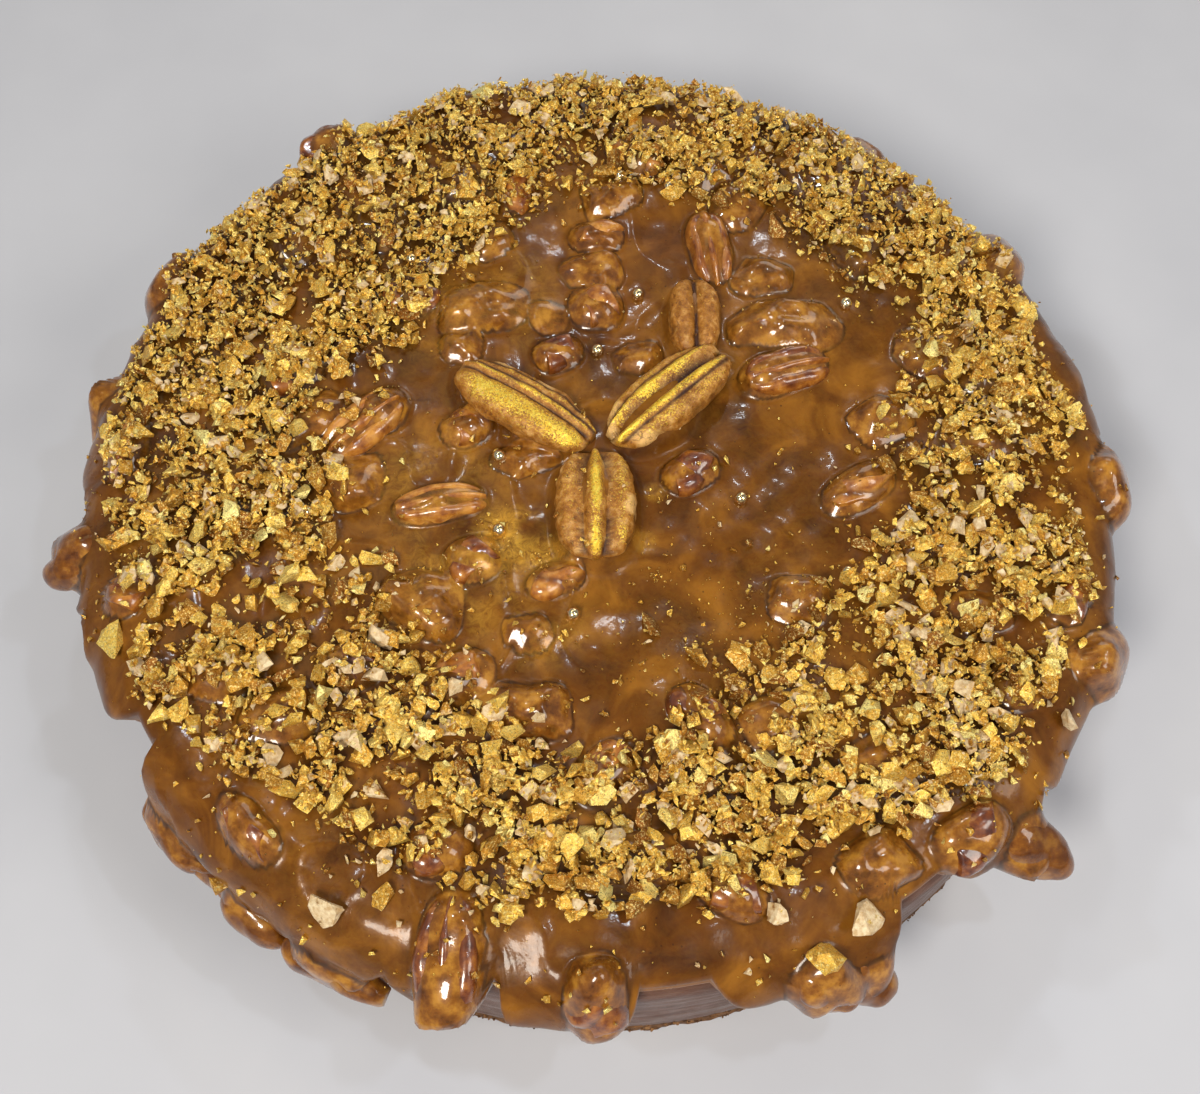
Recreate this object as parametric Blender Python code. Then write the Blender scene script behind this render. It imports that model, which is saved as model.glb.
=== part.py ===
"""A round cake: a crumb base, a baked filling, and a thick caramel topping full of pecans.

Lengths below are in millimetres, and each mesh is scaled to metres as it is made.
The front of the cake is towards -Y. Azimuths are degrees from +X, seen from above.
A run is a distance along the filling's surface, outward and down, from the start of its rounded shoulder.
"""
import math
import random

import bmesh
import bpy
from mathutils import Matrix, Vector
from mathutils.geometry import delaunay_2d_cdt

MM = 0.001
UPWARD = Vector((0.0, 0.0, 1.0))

# Crumb base and filling
BASE_RADIUS = 114.3
BASE_HEIGHT = 8.0
CRUMB_RELIEF = 0.7
FILLING_TOP = 44.0
FILLING_RADIUS = 113.0
FILLING_FOOT_RADIUS = 113.8
SHOULDER_RADIUS = 6.0
GAP = 0.3
LAYER_SIDES = 60

SHOULDER_START = FILLING_RADIUS - SHOULDER_RADIUS
SHOULDER_RUN = SHOULDER_RADIUS * math.pi / 2
WALL_TOP = FILLING_TOP - SHOULDER_RADIUS

# Caramel
CARAMEL_SIDES = 96
CAP_RADIUS = 100.0
TOP_THICKNESS = 9.0
WALL_THICKNESS = 4.3
THINNING_START = -6.0
THINNING_LENGTH = 20.0
SWELL = 0.5
SHORTEST_RUN = 3.5
SKIRT_STATIONS = (0.24, 0.44, 0.62, 0.79, 0.92)
INNER_OFFSET = 0.5
LIP_THICKNESS = 1.1
LIP_TUCK = 0.8
ROUNDING_START = 0.8
INNER_SPARE = 0.5
INNER_SLOPE = 0.1
BACKGROUND_STEP = 17.0
ROW_SPACING = 0.9
BACKGROUND_EDGE = 4.0
LUMP_EDGE = 2.5
POINT_SPACING = 1.8
LUMP_SIDES = 7
LUMP_RINGS = ((1.06, 0.0), (0.72, 0.5))
LUMP_RIDGE = 0.25
LUMP_FULLNESS = 0.6

# Runs of caramel down the side: azimuth, half width in degrees, reach as a run
DRIPS = (
    (0, 9, 19), (14, 7, 13), (27, 8, 22), (41, 7, 15), (54, 8, 24), (68, 7, 14), (81, 8, 20),
    (95, 7, 26), (108, 8, 16), (121, 7, 21), (135, 9, 25), (149, 7, 14), (162, 8, 22), (176, 8, 17),
    (190, 8, 23), (204, 8, 13), (224, 8, 17), (234, 8, 18), (244, 7, 16), (255, 6, 13), (266, 4.5, 17),
    (271.5, 4, 15), (290, 7, 13), (298, 6, 13), (318, 8, 11), (332, 8, 17), (345, 9, 22),
)

# Pecans under the caramel, as lumps: x, y, heading, length, width, height
COATED = (
    (-4, 53, 8, 14, 8, 2.0), (-29, 41, 11, 20, 13, 3.0), (-14, 40, 0, 8, 7, 1.4),
    (-33, 30, 2, 8, 8, 1.6), (36, 53, 2, 14, 10, 2.4), (42, 39, 177, 25, 12, 3.0),
    (7, 30, 20, 10, 8, 1.6), (23, 85, 23, 12, 11, 2.2), (-29, 62, 29, 12, 10, 2.0),
    (31, 73, 145, 12, 11, 2.2), (75, 34, 174, 14, 11, 2.4), (-67, 10, 24, 16, 10, 2.2),
    (-55, -5, 21, 16, 11, 2.4), (-17, 2, 15, 14, 8, 1.8), (-37, -33, 167, 17, 14, 3.4),
    (-15, -39, 12, 10, 8, 1.6), (-14, -57, 5, 20, 11, 3.0), (38, -56, 28, 14, 9, 2.2),
    (43, -30, 2, 12, 10, 2.2), (63, 15, 25, 12, 10, 2.2), (84, 11, 2, 15, 11, 2.4),
    (73, -14, 25, 18, 9, 2.4), (89, -47, 116, 11, 10, 2.2), (82, -30, 20, 12, 10, 2.2),
    (-80, -52, 178, 15, 10, 2.4), (8, -88, 8, 20, 11, 3.0), (-55, 64, 30, 14, 13, 2.4),
    (60, -64, 20, 15, 11, 2.4), (-65, -60, 30, 14, 10, 2.2), (60, 62, 120, 15, 11, 2.4),
    (-75, 60, 60, 15, 11, 2.4), (0, 74, 20, 14, 10, 2.2), (58, -86, 40, 14, 11, 2.6),
    (88, 30, 70, 13, 10, 2.2), (-40, 78, 10, 14, 10, 2.2), (46, 84, 150, 14, 10, 2.2),
)

# Coated pecans and folds that hang over the edge, fused to the caramel: azimuth, run, turn from the
# outward direction, length, width, thickness, how far the middle stands off, tilt away from the side
HANGING = (
    (190, 7.0, 4, 17, 10, 8, 1.8, 38), (222, 14.5, 80, 18, 9, 8, 2.4, 0),
    (228.5, 16.0, 88, 18, 6, 6, 1.6, 0), (234.5, 16.0, 70, 15, 10, 8, 2.6, 0),
    (244.5, 15.0, 84, 22, 10, 7, 2.0, 0), (294, 7.0, 25, 15, 10, 8, 2.0, 20),
    (298.5, 9.5, 8, 16, 10, 8, 2.4, 40), (319.5, 7.5, 8, 21, 11, 8, 2.4, 48),
    (341, 6.0, 70, 14, 10, 8, 1.4, 0), (2, 5.5, 88, 16, 9, 8, 1.2, 0), (34, 4.5, 50, 15, 10, 8, 1.4, 0),
    (57, 8.0, 80, 14, 9, 7, 1.2, 0), (155, 5.5, 76, 15, 10, 8, 1.2, 0), (96, 9.0, 85, 15, 9, 7, 1.2, 0),
    (172, 9.0, 60, 14, 9, 7, 1.4, 0),
)

# The four decorative halves: name, x, y, height of the middle, heading, length, width, thickness,
# pitch and roll
STAR_PECANS = (
    ("pecan_star_left", -17.7, 14.2, 56.6, 151, 34, 14.5, 7.6, 4, 8),
    ("pecan_star_right", 14.0, 17.2, 57.0, 42, 33, 15.5, 8.0, 5, -12),
    ("pecan_star_front", -1.2, -9.8, 56.8, 272, 27, 18, 8.4, 3, 0),
    ("pecan_star_back", 20.3, 40.2, 55.4, 92, 21, 12, 7.0, -4, 6),
)

# Bare pecan pieces half sunk in the caramel: x, y, heading, length, width, thickness, lift of the middle
BARE_PECANS = (
    (-3, 63, 2, 13, 8, 7, 0.4), (24, 60, 101, 20, 10, 8, 0.8), (-3, 43, 2, 13, 12, 8, 0.8),
    (-11, 30, 26, 12, 9, 7, 0.2), (-23, 76, 74, 15, 8, 7, 0.4), (5, 87, 147, 15, 10, 8, 0.6),
    (42, 27, 20, 20, 11, 8, 0.8), (-46, 44, 152, 13, 11, 7, 0.4), (-54, 9, 43, 21, 11, 8, 0.8),
    (-72, 22, 21, 16, 10, 7, 0.4), (-51, -48, 14, 14, 11, 8, 0.6), (-31, 10, 31, 12, 9, 7, 0.2),
    (-35, -10, 13, 20, 9, 7, 0.6), (-27, -23, 17, 12, 11, 7, 0.2), (-9, -27, 25, 13, 8, 7, 0.2),
    (-29, -51, 27, 18, 11, 8, 0.8), (20, 0, 33, 13, 9, 7, 0.2), (22, -57, 132, 16, 10, 8, 0.6),
    (57, -3, 33, 18, 10, 8, 0.8), (-68, -83, 133, 17, 9, 8, 0.6), (-30, -86, 20, 14, 11, 8, 0.6),
    (3, -69, 39, 15, 10, 8, 0.4), (29, -93, 155, 14, 10, 8, 0.6), (76, -78, 38, 17, 11, 8, 0.8),
)

# Bare pieces at the rim: azimuth, run, turn from the outward direction, length, width, thickness, lift
RIM_PECANS = (
    (256, 1.5, 12, 24, 13, 8, 0.8), (271.5, 4.5, 5, 16, 12, 8, 0.6), (179, -1.0, 82, 17, 8, 6, 0.4),
    (198, -1.5, 40, 12, 9, 7, 0.2), (345, -1.0, 72, 12, 8, 7, 0.4), (128, 4.5, 55, 15, 10, 8, 2.0),
)

POCKET_GROWTH = 0.45

# Form of a pecan piece: how round its ends are, how blunt an end may be, its flatter underside, its tips
END_POWER = 2.4
BLUNT_ENDS = (0.0, 0.12, 0.22)
UNDERSIDE = 0.8
TIP_RISE = 0.04
STAR_GROOVES = 0.16
STAR_ROUGHNESS = 0.02
LARGEST_PITCH = 7.0
LARGEST_ROLL = 9.0

# Metallic balls: x, y
BALL_RADIUS = 1.5
BALL_SINK = 0.5
BALLS = (
    (-47, 54), (7, 47), (56, 46), (-2, 31), (-23, 2), (-22, -16), (-64, -13), (31, -6), (-5, -35),
    (54, -23), (2, 80), (14, 78),
)

# The largest chopped chips: x, y, size
LARGE_CHIPS = (
    (-102, -44, 9), (55, -97, 9), (69, -64, 8), (-76, -92, 6.5), (-51, -99, 8), (-44, -75, 6.5),
    (47, -105, 7.5), (100, -54, 8), (-86, 3, 8.5), (-60, 28, 6), (97, 41, 7), (12, -37, 7.5),
    (-15, -98, 7), (-104, 16, 6), (-91, 17, 6), (-57, 78, 6), (-34, 91, 6), (-54, 96, 6), (-4, 98, 6),
    (42, -72, 5.5), (-51, -64, 7.5), (-73, -43, 8), (-45, -42, 7), (21, -44, 6), (-8, -79, 7.5),
    (25, -76, 6), (83, -40, 6), (97, -36, 6.5), (67, -11, 6.5), (95, 22, 6), (86, 44, 6.5),
    (57, 80, 5.5), (33, 99, 5.5), (-99, 40, 5), (-40, -96, 5.5), (37, -97, 6), (84, -54, 5.5),
    (-89, -60, 6.5), (-88, -30, 5.5),
)
CHIP_SIZES = (7.0, 4.2)
CHIP_COUNT = 66
CHIP_RING = (62.0, 104.0)
CHIP_FRONT_LIMIT = 96.0
FRONT_SINE = -0.55
CHIP_CLEARANCE = 1.0
CHIP_REACH = 0.56
CHIP_LIFT = 0.08
CHIP_TILT = 16.0
CHIP_PEAK = 1.15
CHIP_TRIES = 6000

# Seeds of the random draws
CRUMB_SEED = 3
FILLING_SEED = 5
CHIP_SEED = 7
TILT_SEED = 11
STAR_SEED = 100
BARE_SEED = 200
HANGING_SEED = 300

CARAMEL_COLOUR = (0.175, 0.075, 0.026)
FILLING_COLOUR = (0.32, 0.17, 0.115)
CRUMB_COLOUR = (0.28, 0.135, 0.05)
WET_PECAN_COLOUR = (0.19, 0.055, 0.014)
GOLDEN_PECAN_COLOUR = (0.42, 0.235, 0.06)
CARAMEL_ROUGHNESS = 0.18
FILLING_ROUGHNESS = 0.45
CRUMB_ROUGHNESS = 0.85
WET_ROUGHNESS = 0.2
GOLDEN_PECAN_ROUGHNESS = 0.4
SMALLEST_EDGE = 0.00002


def clear_objects():
    for item in list(bpy.data.objects):
        bpy.data.objects.remove(item, do_unlink=True)


def new_material(name, colour, roughness, metallic=0.0):
    material = bpy.data.materials.new(name)
    material.use_nodes = True
    shader = material.node_tree.nodes["Principled BSDF"]
    shader.inputs["Base Color"].default_value = (*colour, 1.0)
    shader.inputs["Roughness"].default_value = roughness
    shader.inputs["Metallic"].default_value = metallic
    return material


def make_object(name, mesh_data, colour, roughness, metallic=0.0, crease=40.0):
    """Turn a bmesh in millimetres into a smooth-shaded object in metres."""
    bmesh.ops.scale(mesh_data, vec=(MM, MM, MM), verts=mesh_data.verts)
    bmesh.ops.recalc_face_normals(mesh_data, faces=mesh_data.faces)
    mesh = bpy.data.meshes.new(name)
    mesh_data.to_mesh(mesh)
    mesh_data.free()
    mesh.shade_smooth()
    mesh.set_sharp_from_angle(angle=math.radians(crease))
    item = bpy.data.objects.new(name, mesh)
    bpy.context.scene.collection.objects.link(item)
    mesh.materials.append(new_material(name, colour, roughness, metallic))
    return item


def smooth_step(value):
    value = min(max(value, 0.0), 1.0)
    return value * value * (3.0 - 2.0 * value)


def on_circle(radius, angle, height=0.0):
    return Vector((radius * math.cos(angle), radius * math.sin(angle), height))


def bridge_rings(mesh_data, rings):
    """Faces between each ring of vertices and the next, closed round the axis."""
    for lower, upper in zip(rings, rings[1:]):
        count = len(lower)
        for index in range(count):
            following = (index + 1) % count
            mesh_data.faces.new((lower[index], lower[following], upper[following], upper[index]))


def layer(name, stations, relief, seed, colour, roughness):
    """A round layer turned from (radius, height) stations, with its side made uneven by a few tenths."""
    mesh_data = bmesh.new()
    draw = random.Random(seed)
    rings = []
    for radius, height in stations:
        ring = []
        for index in range(LAYER_SIDES):
            angle = math.tau * index / LAYER_SIDES
            uneven = radius - draw.uniform(0.0, relief)
            ring.append(mesh_data.verts.new(on_circle(uneven, angle, height)))
        rings.append(ring)
    bridge_rings(mesh_data, rings)
    mesh_data.faces.new(rings[0])
    mesh_data.faces.new(rings[-1])
    return make_object(name, mesh_data, colour, roughness)


def crumb_base():
    stations = (
        (BASE_RADIUS - 0.6, 0.0),
        (BASE_RADIUS, BASE_HEIGHT * 0.45),
        (BASE_RADIUS - 0.3, BASE_HEIGHT),
    )
    return layer("crumb_base", stations, CRUMB_RELIEF, CRUMB_SEED, CRUMB_COLOUR, CRUMB_ROUGHNESS)


def filling(name="filling", grow=0.0):
    half_turn = (SHOULDER_RADIUS + grow) * math.sqrt(0.5)
    stations = (
        (FILLING_FOOT_RADIUS + grow, BASE_HEIGHT + GAP - grow),
        (FILLING_RADIUS + grow, WALL_TOP),
        (SHOULDER_START + half_turn, WALL_TOP + half_turn),
        (SHOULDER_START, FILLING_TOP + grow),
    )
    return layer(name, stations, 0.0, FILLING_SEED, FILLING_COLOUR, FILLING_ROUGHNESS)


def side_profile(run):
    """The filling's surface at a run, as (radius, height), and its outward direction there."""
    if run <= 0.0:
        return (SHOULDER_START + run, FILLING_TOP), (0.0, 1.0)
    if run < SHOULDER_RUN:
        turn = run / SHOULDER_RADIUS
        out = (math.sin(turn), math.cos(turn))
        return (SHOULDER_START + SHOULDER_RADIUS * out[0], WALL_TOP + SHOULDER_RADIUS * out[1]), out
    drop = run - SHOULDER_RUN
    spread = (FILLING_FOOT_RADIUS - FILLING_RADIUS) * drop / (WALL_TOP - BASE_HEIGHT)
    return (FILLING_RADIUS + spread, WALL_TOP - drop), (1.0, 0.0)


def swell(x, y):
    """Slow waves in the poured surface."""
    return SWELL * (math.sin(x / 13.0 + 1.3) * math.cos(y / 11.0 - 0.4) + 0.6 * math.sin((x + y) / 9.0))


def caramel_offset(azimuth, run, offset):
    """The point that stands a distance off the filling, at an azimuth in radians and a run."""
    (radius, height), (outward, upward) = side_profile(run)
    return on_circle(radius + outward * offset, azimuth, height + upward * offset)


def caramel_thickness(azimuth, run):
    thinning = smooth_step((run - THINNING_START) / THINNING_LENGTH)
    point = on_circle(SHOULDER_START + run, azimuth)
    return TOP_THICKNESS + (WALL_THICKNESS - TOP_THICKNESS) * thinning + swell(point.x, point.y)


def surface_point(azimuth, run):
    return caramel_offset(azimuth, run, caramel_thickness(azimuth, run))


def edge_run(azimuth):
    """How far the caramel runs down at an azimuth: the longest of the drips there."""
    reach = SHORTEST_RUN
    for centre, half_width, longest in DRIPS:
        away = abs((math.degrees(azimuth) - centre + 180.0) % 360.0 - 180.0) / half_width
        if away < 1.0:
            drip = SHORTEST_RUN + (longest - SHORTEST_RUN) * math.cos(away * math.pi / 2) ** 0.8
            reach = max(reach, drip)
    return reach


def lump_height(x, y):
    """Height that the pecans under the caramel add to its top."""
    highest = 0.0
    for centre_x, centre_y, heading, length, width, height in COATED:
        turn = math.radians(heading)
        along = (x - centre_x) * math.cos(turn) + (y - centre_y) * math.sin(turn)
        across = (y - centre_y) * math.cos(turn) - (x - centre_x) * math.sin(turn)
        away = (2.0 * along / length) ** 2 + (2.0 * across / width) ** 2
        if away < 1.0:
            highest = max(highest, height * (1.0 - away) ** LUMP_FULLNESS)
    return highest


def cap_height(x, y):
    return FILLING_TOP + TOP_THICKNESS + swell(x, y) + lump_height(x, y)


def lump_points(lump):
    """Points that draw one lump: its foot, a ring part-way up and its ridge."""
    centre_x, centre_y, heading, length, width, _height = lump
    turn = Matrix.Rotation(math.radians(heading), 2)
    points = []
    for scale, phase in LUMP_RINGS:
        for index in range(LUMP_SIDES):
            angle = math.tau * (index + phase) / LUMP_SIDES
            local = Vector((scale * length / 2 * math.cos(angle), scale * width / 2 * math.sin(angle)))
            points.append(turn @ local + Vector((centre_x, centre_y)))
    for along in (-LUMP_RIDGE, LUMP_RIDGE):
        points.append(turn @ Vector((along * length / 2, 0.0)) + Vector((centre_x, centre_y)))
    return points


def background_points():
    """A loose grid that carries the slow waves where no lump lies."""
    points = []
    rows = int(CAP_RADIUS / BACKGROUND_STEP)
    for row in range(-rows, rows + 1):
        for column in range(-rows, rows + 1):
            x = (column + 0.5 * (row % 2)) * BACKGROUND_STEP
            y = row * BACKGROUND_STEP * ROW_SPACING
            if math.hypot(x, y) < CAP_RADIUS - BACKGROUND_EDGE:
                points.append(Vector((x, y)))
    return points


def add_cap(mesh_data, boundary):
    """The caramel's top: a net of triangles from the boundary ring to the points of the lumps."""
    points = [vertex.co.xy for vertex in boundary]
    candidates = []
    for lump in COATED:
        candidates.extend(lump_points(lump))
    candidates.extend(background_points())
    for candidate in candidates:
        if candidate.length > CAP_RADIUS - LUMP_EDGE:
            continue
        if min((candidate - other).length for other in points) > POINT_SPACING:
            points.append(candidate)
    count = len(boundary)
    edges = [(index, (index + 1) % count) for index in range(count)]
    net = delaunay_2d_cdt(points, edges, [], 1, 1e-6)
    triangles, origins = net[2], net[3]
    vertices = list(boundary)
    for point in points[count:]:
        vertices.append(mesh_data.verts.new((point.x, point.y, cap_height(point.x, point.y))))
    for triangle in triangles:
        mesh_data.faces.new([vertices[origins[corner][0]] for corner in triangle])


def caramel_core():
    """The poured layer: a top with lumps, a rounded rim, a scalloped skirt and a plain underside."""
    mesh_data = bmesh.new()
    azimuths = [math.tau * index / CARAMEL_SIDES for index in range(CARAMEL_SIDES)]
    start = CAP_RADIUS - SHOULDER_START
    rings = []
    ring = []
    for azimuth in azimuths:
        point = on_circle(CAP_RADIUS, azimuth)
        height = FILLING_TOP + TOP_THICKNESS + swell(point.x, point.y)
        ring.append(mesh_data.verts.new((point.x, point.y, height)))
    rings.append(ring)
    for station in SKIRT_STATIONS:
        ring = []
        for azimuth in azimuths:
            run = start + (edge_run(azimuth) - start) * station
            rounding = max(0.0, (station - ROUNDING_START) / (1.0 - ROUNDING_START))
            offset = caramel_thickness(azimuth, run) * math.sqrt(1.0 - rounding * rounding)
            ring.append(mesh_data.verts.new(caramel_offset(azimuth, run, offset)))
        rings.append(ring)
    for tuck, offset in ((0.0, LIP_THICKNESS), (LIP_TUCK, INNER_OFFSET)):
        ring = []
        for azimuth in azimuths:
            ring.append(mesh_data.verts.new(caramel_offset(azimuth, edge_run(azimuth) - tuck, offset)))
        rings.append(ring)
    for inner_run in (SHOULDER_RUN, SHOULDER_RUN / 2, 0.0):
        ring = []
        for azimuth in azimuths:
            spare = LIP_TUCK + INNER_SPARE + (SHOULDER_RUN - inner_run) * INNER_SLOPE
            run = min(inner_run, edge_run(azimuth) - spare)
            ring.append(mesh_data.verts.new(caramel_offset(azimuth, run, INNER_OFFSET)))
        rings.append(ring)
    bridge_rings(mesh_data, rings)
    mesh_data.faces.new(rings[-1])
    add_cap(mesh_data, rings[0])
    return make_object("caramel_topping", mesh_data, CARAMEL_COLOUR, CARAMEL_ROUGHNESS, crease=50.0)


def surface_frame(azimuth, run, turn, lift):
    """A frame on the caramel: X along a heading in the surface, Z outward, a lift off the surface."""
    here = surface_point(azimuth, run)
    outward_run = surface_point(azimuth, run + 0.5) - surface_point(azimuth, run - 0.5)
    sideways = on_circle(1.0, azimuth + math.pi / 2)
    outward_run.normalize()
    normal = outward_run.cross(sideways).normalized()
    ahead = outward_run * math.cos(turn) + sideways * math.sin(turn)
    return frame_matrix(here + normal * lift, ahead, normal)


def frame_matrix(place, ahead, normal):
    across = normal.cross(ahead).normalized()
    ahead = across.cross(normal).normalized()
    frame = Matrix((ahead, across, normal)).transposed().to_4x4()
    frame.translation = place
    return frame


def top_frame(x, y, heading, lift):
    """A frame on the flat part of the caramel's top, or on its rim if the place is far enough out."""
    direction = math.radians(heading)
    radius = math.hypot(x, y)
    if radius > CAP_RADIUS:
        azimuth = math.atan2(y, x)
        return surface_frame(azimuth, radius - SHOULDER_START, direction - azimuth, lift)
    place = Vector((x, y, FILLING_TOP + TOP_THICKNESS + swell(x, y) + lift))
    return frame_matrix(place, on_circle(1.0, direction), UPWARD)


def pecan_mesh(length, width, thickness, sides, sections, seed, grooves=0.0, rough=0.05, grow=0.0):
    """A pecan piece along X: rounded ends, a flatter underside, two grooves along the back."""
    draw = random.Random(seed)
    mesh_data = bmesh.new()
    blunt = 0.0 if grooves else draw.choice(BLUNT_ENDS)
    half_length = length / 2 + grow
    rings = []
    for section in range(1, sections):
        along = -math.cos(math.pi * section / sections)
        if section == 1:
            along -= blunt * 0.5
        girth = (1.0 - abs(along) ** END_POWER) ** 0.5
        if section == 1:
            girth += blunt
        ring = []
        for side in range(sides):
            angle = math.tau * side / sides
            uneven = girth * (1.0 + rough * draw.uniform(-1.0, 1.0))
            if grooves and side * 12 // sides in (2, 4):
                uneven *= 1.0 - grooves
            half_width = width / 2 * uneven + grow
            half_height = thickness / 2 * uneven + grow
            if math.sin(angle) < 0.0:
                half_height *= UNDERSIDE
            across = half_width * math.cos(angle)
            upward = half_height * math.sin(angle)
            ring.append(mesh_data.verts.new((along * half_length, across, upward)))
        rings.append(ring)
    bridge_rings(mesh_data, rings)
    for ring, reach in ((rings[0], -half_length), (rings[-1], half_length)):
        tip = mesh_data.verts.new((reach, 0.0, thickness * TIP_RISE))
        for index in range(sides):
            mesh_data.faces.new((ring[index], ring[(index + 1) % sides], tip))
    return mesh_data


def tilted(frame, pitch, roll):
    turn = Matrix.Rotation(math.radians(-pitch), 4, "Y") @ Matrix.Rotation(math.radians(roll), 4, "X")
    return frame @ turn


def pecan_places():
    """Every separate pecan piece: its name, its frame, the arguments of its mesh and its colour."""
    places = []
    for order, row in enumerate(STAR_PECANS):
        name, x, y, height, heading, length, width, thickness, pitch, roll = row
        ahead = on_circle(1.0, math.radians(heading))
        frame = tilted(frame_matrix(Vector((x, y, height)), ahead, UPWARD), pitch, roll)
        shape = {"length": length, "width": width, "thickness": thickness, "sides": 12, "sections": 9,
                 "seed": STAR_SEED + order, "grooves": STAR_GROOVES, "rough": STAR_ROUGHNESS}
        places.append((name, frame, shape, GOLDEN_PECAN_COLOUR, GOLDEN_PECAN_ROUGHNESS))
    draw = random.Random(TILT_SEED)
    rows = [(top_frame(x, y, heading, lift), length, width, thickness)
            for x, y, heading, length, width, thickness, lift in BARE_PECANS]
    rows += [(surface_frame(math.radians(azimuth), run, math.radians(turn), lift), length, width, thickness)
             for azimuth, run, turn, length, width, thickness, lift in RIM_PECANS]
    for order, (frame, length, width, thickness) in enumerate(rows, start=1):
        pitch = draw.uniform(-LARGEST_PITCH, LARGEST_PITCH)
        roll = draw.uniform(-LARGEST_ROLL, LARGEST_ROLL)
        frame = tilted(frame, pitch, roll)
        shape = {"length": length, "width": width, "thickness": thickness, "sides": 8, "sections": 5,
                 "seed": BARE_SEED + order}
        places.append((f"pecan_{order:02d}", frame, shape, WET_PECAN_COLOUR, WET_ROUGHNESS))
    return places


def placed_pecan(name, frame, shape, colour, roughness, grow=0.0):
    mesh_data = pecan_mesh(**shape, grow=grow)
    mesh_data.transform(frame)
    return make_object(name, mesh_data, colour, roughness, crease=60.0)


def hanging_lumps():
    lumps = []
    for order, (azimuth, run, turn, length, width, thickness, lift, pitch) in enumerate(HANGING):
        frame = surface_frame(math.radians(azimuth), run, math.radians(turn), lift)
        mesh_data = pecan_mesh(length, width, thickness, 8, 5, HANGING_SEED + order)
        mesh_data.transform(tilted(frame, pitch, 0.0))
        lumps.append(make_object(f"lump_{order}", mesh_data, CARAMEL_COLOUR, CARAMEL_ROUGHNESS))
    return lumps


def chip_mesh(size, draw):
    """An angular chip: the hull of a jittered box."""
    mesh_data = bmesh.new()
    half = Vector((0.5, draw.uniform(0.33, 0.45), draw.uniform(0.24, 0.34))) * size
    for corner_x in (-1, 1):
        for corner_y in (-1, 1):
            for corner_z in (-1, 1):
                jitter = [draw.uniform(0.62, 1.0) for _axis in range(3)]
                corner = Vector((corner_x * half.x, corner_y * half.y, corner_z * half.z))
                mesh_data.verts.new(corner * Vector(jitter))
    peak = Vector((draw.uniform(-0.2, 0.2) * size, draw.uniform(-0.2, 0.2) * size, half.z * CHIP_PEAK))
    mesh_data.verts.new(peak)
    bmesh.ops.convex_hull(mesh_data, input=mesh_data.verts)
    return mesh_data


def chip_places(blocked):
    """Places of the chips: the named large ones, then seeded ones in the ring, largest first."""
    draw = random.Random(CHIP_SEED)
    candidates = [(Vector((x, y)), size) for x, y, size in LARGE_CHIPS]
    for attempt in range(CHIP_TRIES):
        size = CHIP_SIZES[0] + (CHIP_SIZES[1] - CHIP_SIZES[0]) * attempt / CHIP_TRIES
        azimuth = draw.uniform(0.0, math.tau)
        outer = CHIP_RING[1] if math.sin(azimuth) > FRONT_SINE else CHIP_FRONT_LIMIT
        radius = math.sqrt(draw.uniform(CHIP_RING[0] ** 2, outer ** 2))
        candidates.append((Vector((radius * math.cos(azimuth), radius * math.sin(azimuth))), size))
    chosen = []
    for place, size in candidates:
        if len(chosen) == CHIP_COUNT:
            break
        room = size * CHIP_REACH + CHIP_CLEARANCE
        near_pecan = any((place - other).length < reach + room for other, reach in blocked)
        near_chip = any((place - other).length < (size + width) * CHIP_REACH for other, width in chosen)
        if not near_pecan and not near_chip:
            chosen.append((place, size))
    return chosen


def pecan_footprints(places):
    """Small circles along each bare pecan, which the chips and balls keep clear of."""
    circles = []
    for _name, frame, shape, _colour, _roughness in places:
        spare = max(0.0, shape["length"] - shape["width"]) / 2
        for along in (-spare, 0.0, spare):
            point = frame @ Vector((along, 0.0, 0.0))
            circles.append((point.xy, shape["width"] / 2))
    for ball in BALLS:
        circles.append((Vector(ball), BALL_RADIUS))
    return circles


def chips(blocked):
    draw = random.Random(CHIP_SEED + 1)
    pieces = []
    for order, (place, size) in enumerate(chip_places(blocked)):
        lift = size * CHIP_LIFT + lump_height(place.x, place.y)
        frame = top_frame(place.x, place.y, draw.uniform(0.0, 360.0), lift)
        frame = tilted(frame, draw.uniform(-CHIP_TILT, CHIP_TILT), draw.uniform(-CHIP_TILT, CHIP_TILT))
        mesh_data = chip_mesh(size, draw)
        mesh_data.transform(frame)
        pieces.append(make_object(f"chip_{order}", mesh_data, CARAMEL_COLOUR, CARAMEL_ROUGHNESS))
    return pieces


def balls():
    pieces = []
    for order, (x, y) in enumerate(BALLS):
        mesh_data = bmesh.new()
        bmesh.ops.create_icosphere(mesh_data, subdivisions=1, radius=BALL_RADIUS)
        height = cap_height(x, y) + BALL_RADIUS - BALL_SINK
        bmesh.ops.translate(mesh_data, vec=(x, y, height), verts=mesh_data.verts)
        pieces.append(make_object(f"ball_{order}", mesh_data, CARAMEL_COLOUR, CARAMEL_ROUGHNESS))
    return pieces


def combine(target, pieces, operation):
    """Apply one Boolean with all the pieces to the target, then remove the pieces."""
    group = bpy.data.collections.new("operands")
    bpy.context.scene.collection.children.link(group)
    for piece in pieces:
        bpy.context.scene.collection.objects.unlink(piece)
        group.objects.link(piece)
    modifier = target.modifiers.new("combine", "BOOLEAN")
    modifier.operand_type = "COLLECTION"
    modifier.collection = group
    modifier.operation = operation
    modifier.solver = "EXACT"
    bpy.context.view_layer.update()
    evaluated = target.evaluated_get(bpy.context.evaluated_depsgraph_get())
    mesh = bpy.data.meshes.new_from_object(evaluated)
    target.modifiers.clear()
    target.data = mesh
    for piece in pieces:
        bpy.data.objects.remove(piece, do_unlink=True)
    bpy.data.collections.remove(group)


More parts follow.
